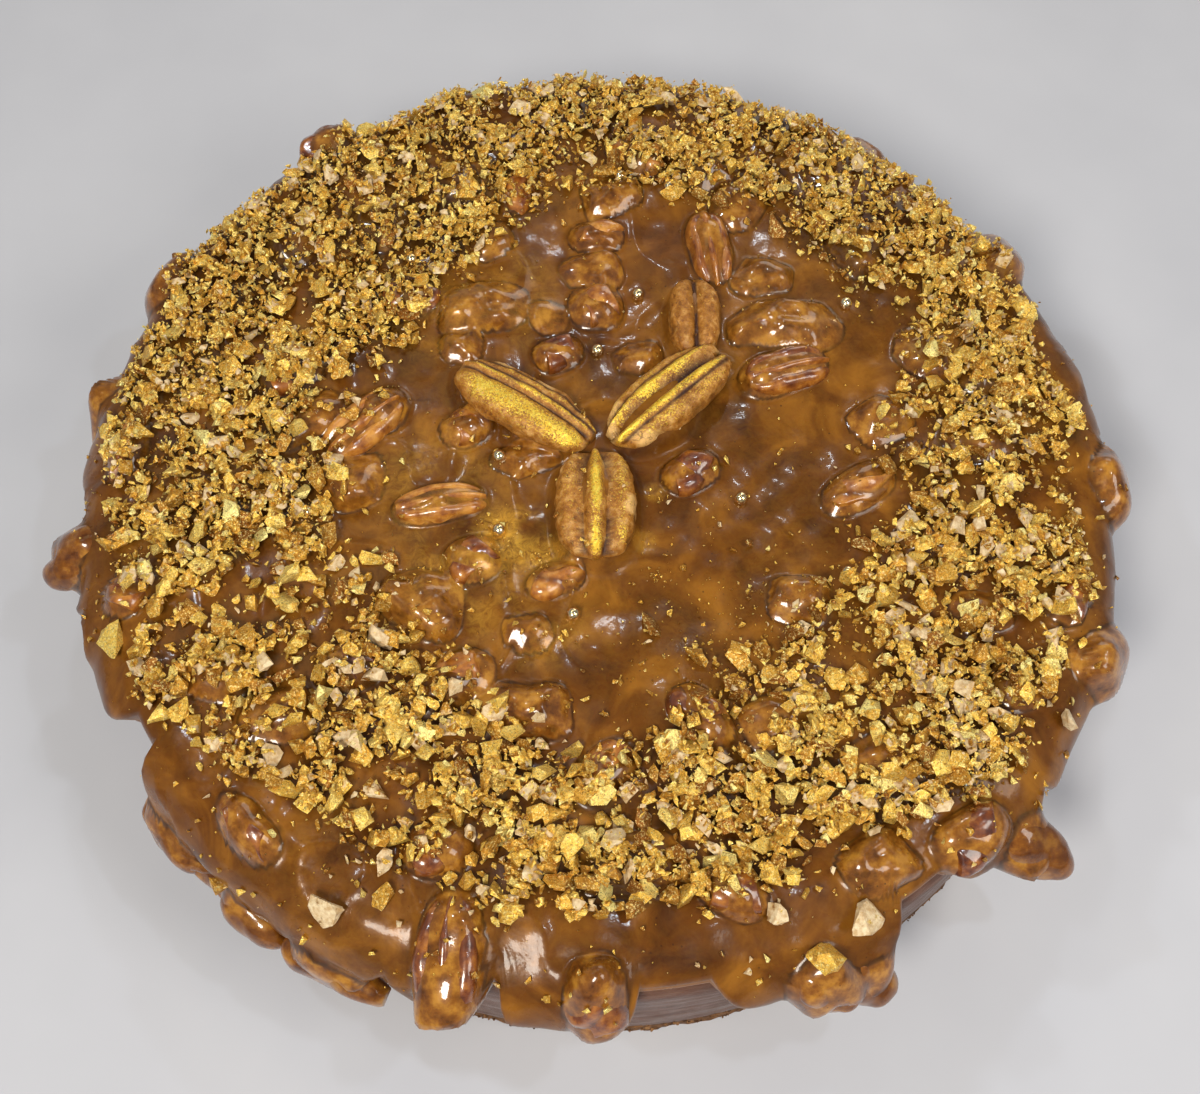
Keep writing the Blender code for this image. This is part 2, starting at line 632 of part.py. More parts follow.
def keep_largest_piece(item):
    """Drop loose scraps that a cut may leave, and give the mesh its one material again."""
    mesh_data = bmesh.new()
    mesh_data.from_mesh(item.data)
    unseen = set(mesh_data.verts)
    shells = []
    while unseen:
        stack = [unseen.pop()]
        shell = set(stack)
        while stack:
            for edge in stack.pop().link_edges:
                for vertex in edge.verts:
                    if vertex in unseen:
                        unseen.discard(vertex)
                        shell.add(vertex)
                        stack.append(vertex)
        shells.append(shell)
    shells.sort(key=len, reverse=True)
    for shell in shells[1:]:
        bmesh.ops.delete(mesh_data, geom=list(shell), context="VERTS")
    bmesh.ops.dissolve_degenerate(mesh_data, dist=SMALLEST_EDGE, edges=mesh_data.edges)
    bmesh.ops.triangulate(mesh_data, faces=mesh_data.faces)
    for face in mesh_data.faces:
        face.material_index = 0
    mesh_data.to_mesh(item.data)
    mesh_data.free()
    while len(item.data.materials) > 1:
        item.data.materials.pop()
    item.data.shade_smooth()
    item.data.set_sharp_from_angle(angle=math.radians(40.0))


def caramel_topping(places):
    """The caramel with its hanging lumps, chips and balls fused on, and a pocket for each bare pecan."""
    topping = caramel_core()
    combine(topping, hanging_lumps() + chips(pecan_footprints(places)) + balls(), "UNION")
    cutters = [placed_pecan(f"pocket_{name}", frame, shape, colour, roughness, POCKET_GROWTH)
               for name, frame, shape, colour, roughness in places]
    cutters.append(filling("filling_room", GAP))
    combine(topping, cutters, "DIFFERENCE")
    keep_largest_piece(topping)


def main():
    clear_objects()
    crumb_base()
    filling()
    places = pecan_places()
    caramel_topping(places)
    for name, frame, shape, colour, roughness in places:
        placed_pecan(name, frame, shape, colour, roughness)


main()
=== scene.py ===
import math

import bmesh
import bpy
import numpy as np
from mathutils import Matrix, Vector
from mathutils.bvhtree import BVHTree


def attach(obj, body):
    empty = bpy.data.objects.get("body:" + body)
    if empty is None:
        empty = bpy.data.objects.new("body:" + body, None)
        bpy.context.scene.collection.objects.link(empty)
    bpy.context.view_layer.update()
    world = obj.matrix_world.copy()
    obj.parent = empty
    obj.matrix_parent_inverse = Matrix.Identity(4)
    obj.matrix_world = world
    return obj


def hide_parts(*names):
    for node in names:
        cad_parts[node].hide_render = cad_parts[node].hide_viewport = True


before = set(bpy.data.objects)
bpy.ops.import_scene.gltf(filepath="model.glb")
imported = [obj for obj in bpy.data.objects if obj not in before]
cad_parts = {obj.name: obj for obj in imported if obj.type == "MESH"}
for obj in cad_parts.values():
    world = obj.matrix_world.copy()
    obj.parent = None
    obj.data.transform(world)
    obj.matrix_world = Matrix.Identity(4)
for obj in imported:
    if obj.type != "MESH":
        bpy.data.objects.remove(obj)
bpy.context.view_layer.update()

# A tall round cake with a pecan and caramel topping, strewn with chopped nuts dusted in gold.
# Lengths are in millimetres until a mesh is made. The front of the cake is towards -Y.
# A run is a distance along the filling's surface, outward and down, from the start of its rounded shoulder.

MM = 0.001

# Form of the layers, as in the solids
BASE_RADIUS = 114.3
BASE_HEIGHT = 8.0
FILLING_TOP = 44.0
FILLING_RADIUS = 113.0
FILLING_FOOT_RADIUS = 113.8
SHOULDER_RADIUS = 6.0
LAYER_GAP = 0.3
SHOULDER_START = FILLING_RADIUS - SHOULDER_RADIUS
SHOULDER_RUN = SHOULDER_RADIUS * math.pi / 2
WALL_TOP = FILLING_TOP - SHOULDER_RADIUS

# Form of the caramel, as in the solids
TOP_THICKNESS = 9.0
WALL_THICKNESS = 4.3
THINNING_START = -6.0
THINNING_LENGTH = 20.0
SWELL = 0.5
SHORTEST_RUN = 3.5
DRIPS = (
    (0, 9, 19), (14, 7, 13), (27, 8, 22), (41, 7, 15), (54, 8, 24), (68, 7, 14), (81, 8, 20), (95, 7, 26),
    (108, 8, 16), (121, 7, 21), (135, 9, 25), (149, 7, 14), (162, 8, 22), (176, 8, 17), (190, 8, 23),
    (204, 8, 13), (224, 8, 17), (234, 8, 18), (244, 7, 16), (255, 6, 13), (266, 4.5, 17), (271.5, 4, 15),
    (290, 7, 13), (298, 6, 13), (318, 8, 11), (332, 8, 17), (345, 9, 22),
)

# Pecans under the caramel, as in the solids: x, y, heading, length, width, height
COATED = (
    (-4, 53, 8, 14, 8, 2.0), (-29, 41, 11, 20, 13, 3.0), (-14, 40, 0, 8, 7, 1.4), (-33, 30, 2, 8, 8, 1.6),
    (36, 53, 2, 14, 10, 2.4), (42, 39, 177, 25, 12, 3.0), (7, 30, 20, 10, 8, 1.6),
    (23, 85, 23, 12, 11, 2.2), (-29, 62, 29, 12, 10, 2.0), (31, 73, 145, 12, 11, 2.2),
    (75, 34, 174, 14, 11, 2.4), (-67, 10, 24, 16, 10, 2.2), (-55, -5, 21, 16, 11, 2.4),
    (-17, 2, 15, 14, 8, 1.8), (-37, -33, 167, 17, 14, 3.4), (-15, -39, 12, 10, 8, 1.6),
    (-14, -57, 5, 20, 11, 3.0), (38, -56, 28, 14, 9, 2.2), (43, -30, 2, 12, 10, 2.2),
    (63, 15, 25, 12, 10, 2.2), (84, 11, 2, 15, 11, 2.4), (73, -14, 25, 18, 9, 2.4),
    (89, -47, 116, 11, 10, 2.2), (82, -30, 20, 12, 10, 2.2), (-80, -52, 178, 15, 10, 2.4),
    (8, -88, 8, 20, 11, 3.0), (-55, 64, 30, 14, 13, 2.4), (60, -64, 20, 15, 11, 2.4),
    (-65, -60, 30, 14, 10, 2.2), (60, 62, 120, 15, 11, 2.4), (-75, 60, 60, 15, 11, 2.4),
    (0, 74, 20, 14, 10, 2.2), (58, -86, 40, 14, 11, 2.6), (88, 30, 70, 13, 10, 2.2),
    (-40, 78, 10, 14, 10, 2.2), (46, 84, 150, 14, 10, 2.2),
)

# Coated pecans that hang over the edge, as in the solids: azimuth, run, turn from the
# outward direction, length, width, thickness, how far the middle stands off, tilt away from the side
HANGING = (
    (190, 7.0, 4, 17, 10, 8, 1.8, 38), (222, 14.5, 80, 18, 9, 8, 2.4, 0),
    (228.5, 16.0, 88, 18, 6, 6, 1.6, 0), (234.5, 16.0, 70, 15, 10, 8, 2.6, 0),
    (244.5, 15.0, 84, 22, 10, 7, 2.0, 0), (294, 7.0, 25, 15, 10, 8, 2.0, 20),
    (298.5, 9.5, 8, 16, 10, 8, 2.4, 40), (319.5, 7.5, 8, 21, 11, 8, 2.4, 48),
    (341, 6.0, 70, 14, 10, 8, 1.4, 0), (2, 5.5, 88, 16, 9, 8, 1.2, 0), (34, 4.5, 50, 15, 10, 8, 1.4, 0),
    (57, 8.0, 80, 14, 9, 7, 1.2, 0), (155, 5.5, 76, 15, 10, 8, 1.2, 0), (96, 9.0, 85, 15, 9, 7, 1.2, 0),
    (172, 9.0, 60, 14, 9, 7, 1.4, 0),
)
# So many of them, from the first, also stand out as a piece of their own
FREE_HANGING = 8

BALL_RADIUS = 1.5
BALLS = (
    (-47, 54), (7, 47), (56, 46), (-2, 31), (-23, 2), (-22, -16), (-64, -13), (31, -6), (-5, -35),
    (54, -23), (2, 80), (14, 78),
)

# The largest chopped chips: x, y, size
LARGE_CHIPS = (
    (-102, -44, 9), (55, -97, 9), (69, -64, 8), (-76, -92, 6.5), (-51, -99, 8), (-44, -75, 6.5),
    (47, -105, 7.5), (100, -54, 8), (-86, 3, 8.5), (-60, 28, 6), (97, 41, 7), (12, -37, 7.5),
    (-15, -98, 7), (-104, 16, 6), (-91, 17, 6), (-57, 78, 6), (-34, 91, 6), (-54, 96, 6), (-4, 98, 6),
    (42, -72, 5.5), (-51, -64, 7.5), (-73, -43, 8), (-45, -42, 7), (21, -44, 6), (-8, -79, 7.5),
    (25, -76, 6), (83, -40, 6), (97, -36, 6.5), (67, -11, 6.5), (95, 22, 6), (86, 44, 6.5), (57, 80, 5.5),
    (33, 99, 5.5), (-99, 40, 5), (-40, -96, 5.5), (37, -97, 6), (84, -54, 5.5), (-89, -60, 6.5),
    (-88, -30, 5.5),
)

# Where the chopped nuts lie: azimuth, then the radii where they begin, are thick and end
RING = (
    (0, 48, 84, 107), (30, 68, 85, 113), (60, 74, 87, 115), (90, 72, 89, 117), (120, 58, 76, 117),
    (150, 50, 68, 116), (180, 48, 76, 110), (210, 48, 76, 107), (240, 50, 68, 99), (270, 64, 74, 94),
    (300, 46, 70, 98), (330, 52, 78, 109),
)

# Smears of gold lustre on the caramel: x, y, radius, strength
LUSTRE = (
    (-20, -18, 8, 0.9), (-12, -23, 6, 0.7), (10, -17, 3, 0.35), (12, -5, 2.5, 0.3), (-27, -27, 15, 0.36),
    (-40, 38, 12, 0.18), (-35, -6, 16, 0.24), (-25, 45, 16, 0.18), (30, 45, 10, 0.16), (-8, -40, 12, 0.20),
)

# Places where flakes of gold lie close together: x, y, radius
FLAKES = (
    (-21, -17, 3.5), (-12, -22, 3.0), (-27, -13, 2.5), (10, -17, 2.4), (12, -6, 2.2), (-6, -27, 2.0),
    (13, -25, 2.5),
)


# Shared mathematics

def smooth_step(value):
    value = np.clip(value, 0.0, 1.0)
    return value * value * (3.0 - 2.0 * value)


def hashed(cells, seed):
    mixed = cells[..., 0] * 73856093 ^ cells[..., 1] * 19349663
    mixed = mixed ^ cells[..., 2] * 83492791 ^ (seed + 1) * 265443576
    mixed = (mixed ^ (mixed >> 13)) * 1274126177
    mixed = mixed ^ (mixed >> 16)
    return (mixed & 0xFFFF) / 32767.5 - 1.0


def noise(points, size, seed=0):
    """Smooth random values from -1 to 1 that change over about one size."""
    scaled = np.asarray(points, float) / size
    cell = np.floor(scaled).astype(np.int64)
    local = scaled - cell
    local = local * local * (3.0 - 2.0 * local)
    total = np.zeros(len(scaled))
    for corner in range(8):
        offset = np.array((corner & 1, corner >> 1 & 1, corner >> 2 & 1))
        weight = np.prod(np.where(offset == 1, local, 1.0 - local), axis=-1)
        total += weight * hashed(cell + offset, seed)
    return total


def smooth_max(first, second, width):
    blend = np.maximum(width - np.abs(first - second), 0.0) / width
    return np.maximum(first, second) + blend * blend * width / 4.0


def unit(vector):
    return vector / np.linalg.norm(vector)


# Meshes and materials

def make_piece(name, node, slot, vertices, faces, material, smooth=True, **attributes):
    """A mesh object for a node, from points in millimetres. The attributes are numbers on its points."""
    mesh = bpy.data.meshes.new(name)
    vertices = np.asarray(vertices, np.float32) * MM
    sizes = np.array([len(face) for face in faces])
    corners = np.concatenate(faces)
    mesh.vertices.add(len(vertices))
    mesh.vertices.foreach_set("co", vertices.ravel())
    mesh.loops.add(len(corners))
    mesh.loops.foreach_set("vertex_index", corners.astype(np.int32))
    mesh.polygons.add(len(sizes))
    mesh.polygons.foreach_set("loop_start", np.concatenate(([0], np.cumsum(sizes)[:-1])).astype(np.int32))
    mesh.polygons.foreach_set("use_smooth", np.full(len(sizes), smooth))
    mesh.update(calc_edges=True)
    mesh.validate()
    for label, values in attributes.items():
        attribute = mesh.attributes.new(label, "FLOAT", "POINT")
        attribute.data.foreach_set("value", np.asarray(values, np.float32))
    mesh.materials.append(material)
    piece = bpy.data.objects.new(name, mesh)
    bpy.context.scene.collection.objects.link(piece)
    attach(piece, "root")
    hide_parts(node)


class Shader:
    """One Principled material, with short calls for the nodes used here. Lengths are in millimetres."""

    def __init__(self, name, **values):
        self.material = bpy.data.materials.new(name)
        self.material.use_nodes = True
        self.nodes = self.material.node_tree.nodes
        self.links = self.material.node_tree.links
        self.principled = self.nodes["Principled BSDF"]
        self.place = self.nodes.new("ShaderNodeTexCoord").outputs["Object"]
        for socket, value in values.items():
            self.principled.inputs[socket.replace("_", " ")].default_value = value

    def feed(self, socket, value):
        if isinstance(value, bpy.types.NodeSocket):
            self.links.new(value, socket)
        elif isinstance(value, tuple):
            socket.default_value = (*value, 1.0)
        else:
            socket.default_value = value

    def stretched(self, factors):
        mapping = self.nodes.new("ShaderNodeMapping")
        mapping.inputs["Scale"].default_value = factors
        self.links.new(self.place, mapping.inputs["Vector"])
        return mapping.outputs["Vector"]

    def noise(self, size, detail=3.0, roughness=0.55, stretch=None, distortion=0.0):
        node = self.nodes.new("ShaderNodeTexNoise")
        self.links.new(self.stretched(stretch) if stretch else self.place, node.inputs["Vector"])
        node.inputs["Scale"].default_value = 1.0 / (size * MM)
        node.inputs["Detail"].default_value = detail
        node.inputs["Roughness"].default_value = roughness
        node.inputs["Distortion"].default_value = distortion
        return node.outputs["Fac"]

    def dots(self, spacing, radius):
        """1 inside small round dots that lie about one spacing apart, 0 outside."""
        node = self.nodes.new("ShaderNodeTexVoronoi")
        self.links.new(self.place, node.inputs["Vector"])
        node.inputs["Scale"].default_value = 1.0 / (spacing * MM)
        return self.ramp(node.outputs["Distance"], ((radius / spacing * 0.7, 1.0), (radius / spacing, 0.0)))

    def attribute(self, name):
        node = self.nodes.new("ShaderNodeAttribute")
        node.attribute_name = name
        return node.outputs["Fac"]

    def ramp(self, value, stops):
        """A smooth map from one number to another, or to a colour."""
        node = self.nodes.new("ShaderNodeValToRGB")
        ramp = node.color_ramp
        while len(ramp.elements) < len(stops):
            ramp.elements.new(0.5)
        for element, (position, result) in zip(ramp.elements, stops):
            element.position = position
            element.color = (*result, 1.0) if isinstance(result, tuple) else (result, result, result, 1.0)
        self.links.new(value, node.inputs["Fac"])
        return node.outputs["Color"]

    def mix(self, factor, first, second):
        node = self.nodes.new("ShaderNodeMix")
        node.data_type = "RGBA"
        self.feed(node.inputs[0], factor)
        self.feed(node.inputs[6], first)
        self.feed(node.inputs[7], second)
        return node.outputs[2]

    def math(self, operation, first, second=0.0):
        node = self.nodes.new("ShaderNodeMath")
        node.operation = operation
        self.feed(node.inputs[0], first)
        self.feed(node.inputs[1], second)
        return node.outputs[0]

    def plus(self, first, second):
        return self.math("ADD", first, second)

    def times(self, first, second):
        return self.math("MULTIPLY", first, second)

    def roughen(self, size, smoothest, roughest):
        self.set("Roughness", self.ramp(self.noise(size), ((0.3, smoothest), (0.7, roughest))))

    def bump(self, height, depth, strength=1.0):
        node = self.nodes.new("ShaderNodeBump")
        node.inputs["Distance"].default_value = depth * MM
        node.inputs["Strength"].default_value = strength
        self.links.new(height, node.inputs["Height"])
        self.links.new(node.outputs["Normal"], self.principled.inputs["Normal"])
        self.links.new(node.outputs["Normal"], self.principled.inputs["Coat Normal"])

    def set(self, socket, value):
        self.feed(self.principled.inputs[socket], value)


def caramel_material():
    shader = Shader("caramel", IOR=1.46, Specular_IOR_Level=0.2, Subsurface_Weight=0.08,
                    Subsurface_Scale=0.002, Subsurface_Radius=(1.0, 0.45, 0.15))
    body = shader.ramp(shader.noise(12, 4, distortion=0.6), (
        (0.3, (0.056, 0.014, 0.002)), (0.5, (0.130, 0.040, 0.004)), (0.70, (0.265, 0.100, 0.010))))
    over_nut = shader.ramp(shader.noise(4, 4, 0.6), (
        (0.33, (0.065, 0.014, 0.002)), (0.5, (0.235, 0.078, 0.008)), (0.66, (0.490, 0.220, 0.028))))
    close = shader.attribute("nut")
    # Painted shade: a dark ring round each coated nut, broken up by noise
    painted_shade_round_nuts = shader.ramp(close, ((0.02, 0.0), (0.25, 0.95), (0.5, 0.7), (0.75, 0.0)))
    painted_shade_round_nuts = shader.times(painted_shade_round_nuts, shader.ramp(shader.noise(6, 2), ((0.38, 0.3), (0.56, 1.0))))
    colour = shader.mix(shader.ramp(close, ((0.55, 0.0), (0.95, 0.85))), body, over_nut)
    colour = shader.mix(painted_shade_round_nuts, colour, (0.030, 0.007, 0.001))
    # Painted shade among the chopped nuts on the top
    colour = shader.mix(shader.attribute("strewn"), colour, (0.020, 0.005, 0.001))
    # Paler where the caramel thins at the lip, and partly a painted highlight along its edge
    colour = shader.mix(shader.attribute("thin"), colour, (0.30, 0.14, 0.06))
    specks = shader.times(shader.dots(2.3, 0.23), shader.ramp(shader.noise(5), ((0.42, 0.0), (0.55, 0.8))))
    colour = shader.mix(specks, colour, (0.035, 0.010, 0.004))
    streaks = shader.ramp(shader.noise(2.6, 6, 0.7, distortion=1.6), ((0.36, 0.15), (0.62, 1.0)))
    gilt = shader.times(shader.attribute("lustre"), streaks)
    shader.set("Base Color", shader.mix(gilt, colour, (0.88, 0.47, 0.06)))
    shader.set("Metallic", gilt)
    shader.roughen(7, 0.24, 0.36)
    shader.set("Coat Weight", shader.ramp(close, ((0.1, 0.22), (0.6, 0.8))))
    shader.set("Coat Roughness", shader.ramp(close, ((0.0, 0.09), (0.6, 0.04))))
    crumpled = shader.noise(0.9, 5, 0.7, distortion=1.0)
    shader.bump(shader.mix(shader.attribute("lustre"), shader.noise(3.0, 3), crumpled), 0.14, 0.6)
    return shader.material


def wet_pecan_material():
    shader = Shader("wet_pecan", IOR=1.48, Coat_Weight=1.0, Coat_Roughness=0.05)
    tone = shader.plus(shader.noise(2.6, 4, 0.6, (0.8, 0.8, 1.0)), shader.attribute("tone"))
    colour = shader.ramp(tone, (
        (0.25, (0.070, 0.013, 0.003)), (0.42, (0.180, 0.044, 0.007)),
        (0.60, (0.400, 0.140, 0.018)), (0.78, (0.640, 0.290, 0.050))))
    # Painted shade in the pecan's grooves and dents
    shader.set("Base Color", shader.mix(shader.attribute("groove"), colour, (0.055, 0.013, 0.003)))
    shader.roughen(3, 0.22, 0.4)
    shader.bump(shader.noise(1.1, 4, 0.6), 0.09, 0.5)
    return shader.material


def golden_pecan_material():
    shader = Shader("golden_pecan", IOR=1.45, Coat_Weight=0.1, Coat_Roughness=0.16, Specular_IOR_Level=0.35)
    skin = shader.ramp(shader.plus(shader.noise(1.8, 5, 0.65), shader.attribute("tone")), (
        (0.25, (0.18, 0.052, 0.007)), (0.5, (0.42, 0.168, 0.024)), (0.80, (0.78, 0.460, 0.160))))
    lines = shader.ramp(shader.noise(1.3, 4, 0.6, distortion=1.2), ((0.34, 0.7), (0.43, 0.0)))
    skin = shader.mix(lines, skin, (0.120, 0.032, 0.006))
    # Painted shade in the pecan's grooves and dents
    skin = shader.mix(shader.attribute("groove"), skin, (0.040, 0.010, 0.004))
    strewn = shader.plus(shader.noise(0.42, 3, 0.75), shader.times(shader.attribute("dust"), 0.32))
    grain = shader.ramp(strewn, ((0.60, 0.0), (0.70, 1.0)))
    dust = shader.times(shader.ramp(shader.attribute("dust"), ((0.0, 0.2), (0.5, 1.0))), grain)
    gold = shader.ramp(shader.noise(0.6), ((0.4, (0.86, 0.50, 0.040)), (0.62, (1.0, 0.78, 0.12))))
    shader.set("Base Color", shader.mix(dust, skin, gold))
    shader.set("Metallic", shader.times(dust, 0.75))
    shader.roughen(0.8, 0.24, 0.46)
    shader.bump(shader.noise(0.6, 4, 0.7), 0.26, 1.0)
    return shader.material


def gold_chip_material():
    shader = Shader("gold_chips", IOR=1.5)
    tone = shader.plus(shader.times(shader.noise(1.5, 4, 0.65), 0.6), shader.attribute("tone"))
    gold = shader.ramp(tone, (
        (0.15, (0.28, 0.096, 0.009)), (0.38, (0.74, 0.385, 0.044)),
        (0.62, (1.0, 0.68, 0.120)), (0.92, (1.0, 0.88, 0.330))))
    grain = shader.ramp(shader.noise(0.38, 2, 0.7), ((0.42, 0.5), (0.52, 0.0)))
    gold = shader.mix(grain, gold, (0.36, 0.155, 0.018))
    glitter = shader.ramp(shader.noise(0.5, 2, 0.7), ((0.54, 0.0), (0.64, 0.8)))
    gold = shader.mix(glitter, gold, (1.0, 0.86, 0.36))
    bare = shader.ramp(shader.noise(1.1), ((0.35, (0.60, 0.39, 0.18)), (0.65, (0.86, 0.70, 0.44))))
    pale = shader.plus(shader.noise(2.4, 3), shader.attribute("pale"))
    cover = shader.ramp(pale, ((0.62, 0.0), (0.74, 1.0)))
    shader.set("Base Color", shader.mix(cover, gold, bare))
    shader.set("Metallic", shader.times(shader.math("SUBTRACT", 1.0, cover), 0.65))
    shader.roughen(0.6, 0.22, 0.48)
    shader.bump(shader.noise(0.45, 4, 0.75), 0.24, 1.0)
    return shader.material


def ball_material():
    shader = Shader("metallic_balls", Metallic=1.0)
    shader.set("Base Color", shader.ramp(
        shader.noise(3), ((0.35, (0.80, 0.62, 0.32)), (0.65, (0.92, 0.80, 0.52)))))
    shader.roughen(4, 0.16, 0.24)
    return shader.material


def filling_material():
    shader = Shader("filling", IOR=1.4, Subsurface_Scale=0.002, Subsurface_Weight=0.1)
    colour = shader.ramp(shader.noise(9, 5, 0.6, (1.0, 1.0, 7.0)), (
        (0.3, (0.080, 0.033, 0.020)), (0.5, (0.122, 0.055, 0.034)), (0.7, (0.185, 0.100, 0.070))))
    damp = shader.ramp(shader.noise(22, 3), ((0.45, 0.0), (0.62, 0.5)))
    shader.set("Base Color", shader.mix(damp, colour, (0.135, 0.050, 0.024)))
    shader.roughen(6, 0.28, 0.5)
    shader.bump(shader.noise(3, 5, 0.6, (1.0, 1.0, 6.0)), 0.35, 0.6)
    return shader.material


def crumb_material():
    shader = Shader("crumb", IOR=1.4)
    tone = shader.plus(shader.times(shader.noise(1.6, 5, 0.7), 0.8), shader.attribute("tone"))
    shader.set("Base Color", shader.ramp(tone, (
        (0.25, (0.060, 0.024, 0.009)), (0.45, (0.190, 0.085, 0.030)), (0.7, (0.360, 0.190, 0.078)))))
    shader.roughen(2, 0.7, 0.95)
    shader.bump(shader.noise(0.8, 4, 0.7), 0.4, 0.9)
    return shader.material


# The caramel's surface

def side_profile(run):
    """The filling's surface at a run: radius, height, and the two parts of its outward direction."""
    turn = np.clip(run, 0.0, SHOULDER_RUN) / SHOULDER_RADIUS
    drop = np.maximum(run - SHOULDER_RUN, 0.0)
    spread = (FILLING_FOOT_RADIUS - FILLING_RADIUS) * drop / (WALL_TOP - BASE_HEIGHT)
    radius = SHOULDER_START + np.minimum(run, 0.0) + SHOULDER_RADIUS * np.sin(turn) + spread
    return radius, WALL_TOP + SHOULDER_RADIUS * np.cos(turn) - drop, np.sin(turn), np.cos(turn)


def swell(x, y):
    return SWELL * (np.sin(x / 13.0 + 1.3) * np.cos(y / 11.0 - 0.4) + 0.6 * np.sin((x + y) / 9.0))


def caramel_thickness(azimuth, run):
    thinning = smooth_step((run - THINNING_START) / THINNING_LENGTH)
    reach = SHOULDER_START + run
    waves = swell(reach * np.cos(azimuth), reach * np.sin(azimuth))
    return TOP_THICKNESS + (WALL_THICKNESS - TOP_THICKNESS) * thinning + waves


def caramel_offset(azimuth, run, offset):
    """Points that stand an offset off the filling, and the outward directions there."""
    radius, height, outward, upward = side_profile(run)
    reach = radius + outward * offset
    points = np.stack((reach * np.cos(azimuth), reach * np.sin(azimuth), height + upward * offset), -1)
    directions = np.stack((outward * np.cos(azimuth), outward * np.sin(azimuth), upward + 0.0 * azimuth), -1)
    return points, directions


def edge_run(azimuth):
    """How far the caramel runs down at each azimuth: the longest of the drips there."""
    degrees = np.degrees(azimuth)
    reach = np.full(len(azimuth), SHORTEST_RUN)
    for centre, half_width, longest in DRIPS:
        away = np.abs((degrees - centre + 180.0) % 360.0 - 180.0) / half_width
        drip = SHORTEST_RUN + (longest - SHORTEST_RUN) * np.cos(np.minimum(away, 1.0) * math.pi / 2) ** 0.8
        reach = smooth_max(reach, np.where(away < 1.0, drip, 0.0), 1.5)
    return reach


def surface_frame(azimuth, run, turn, lift):
    """Middle and three directions of a piece that lies on the caramel."""
    azimuth = np.array([azimuth])
    before, here, after = (
        caramel_offset(azimuth, np.array([place]), caramel_thickness(azimuth, place))[0][0]
        for place in (run - 0.5, run, run + 0.5))
    downhill = unit(after - before)
    sideways = np.array((-math.sin(azimuth[0]), math.cos(azimuth[0]), 0.0))
    normal = unit(np.cross(downhill, sideways))
    ahead = downhill * math.cos(turn) + sideways * math.sin(turn)
    return here + normal * lift, ahead, np.cross(normal, ahead), normal


def hanging_frame(row):
    """Middle and directions of a pecan that hangs over the edge."""
    azimuth, run, turn, _length, _width, _thickness, lift, tilt = row
    centre, ahead, across, normal = surface_frame(math.radians(azimuth), run, math.radians(turn), lift)
    tilt = math.radians(tilt)
    return (centre, ahead * math.cos(tilt) + normal * math.sin(tilt), across,
            normal * math.cos(tilt) - ahead * math.sin(tilt))


# How far down a bare pecan's solid reaches, as a share of the nut's thickness
UNDERSIDE_DEPTH = 0.9


def node_frame(name):
    """Middle, directions and sizes of a pecan node, read from its own points."""
    points = np.array([vertex.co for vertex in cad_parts[name].data.vertices]) / MM
    points = np.unique(points.round(3), axis=0)
    _values, axes = np.linalg.eigh(np.cov((points - points.mean(0)).T))
    ahead, normal = axes[:, 2], axes[:, 0]
    outward = points.mean(0) - np.array((0.0, 0.0, 20.0))
    normal = normal * np.sign(normal @ outward)
    if name.startswith("pecan_star"):
        ahead = ahead * np.sign(ahead[:2] @ points.mean(0)[:2])
    across = np.cross(normal, ahead)
    spans = [points @ axis for axis in (ahead, across, normal)]
    length, width, depth = [span.max() - span.min() for span in spans]
    thickness = depth / UNDERSIDE_DEPTH
    middle = [(span.max() + span.min()) / 2 for span in spans]
    middle[2] = spans[2].max() - thickness / 2
    centre = ahead * middle[0] + across * middle[1] + normal * middle[2]
    return centre, ahead, across, normal, length, width, thickness


STAR_NODES = [name for name in sorted(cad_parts) if name.startswith("pecan_star")]
BARE_NODES = [name for name in sorted(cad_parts) if name.startswith("pecan_") and name not in STAR_NODES]
PECAN_FRAMES = {name: node_frame(name) for name in BARE_NODES + STAR_NODES}

# Grid of the caramel's surface, from the middle of the top to the lip at its edge
AZIMUTHS = 640
TOP_RINGS = 100
SKIRT_RINGS = 38
LIP_RINGS = 5
CENTRE_RADIUS = 0.7
RING_SPACING = 1.1
LIP_START = 0.78
LIP_SHARE = 0.22
LIP_DROP = 1.6
LIP_HEIGHT = 1.9
UNDERSIDE_RADIUS = 60.0
# Lowest height of the caramel where painted shade darkens it among the chopped nuts
CHIP_SHADE_FROM = 48.0

UPWARD = np.array((0.0, 0.0, 1.0))
EDGE_SOFTNESS = 0.2


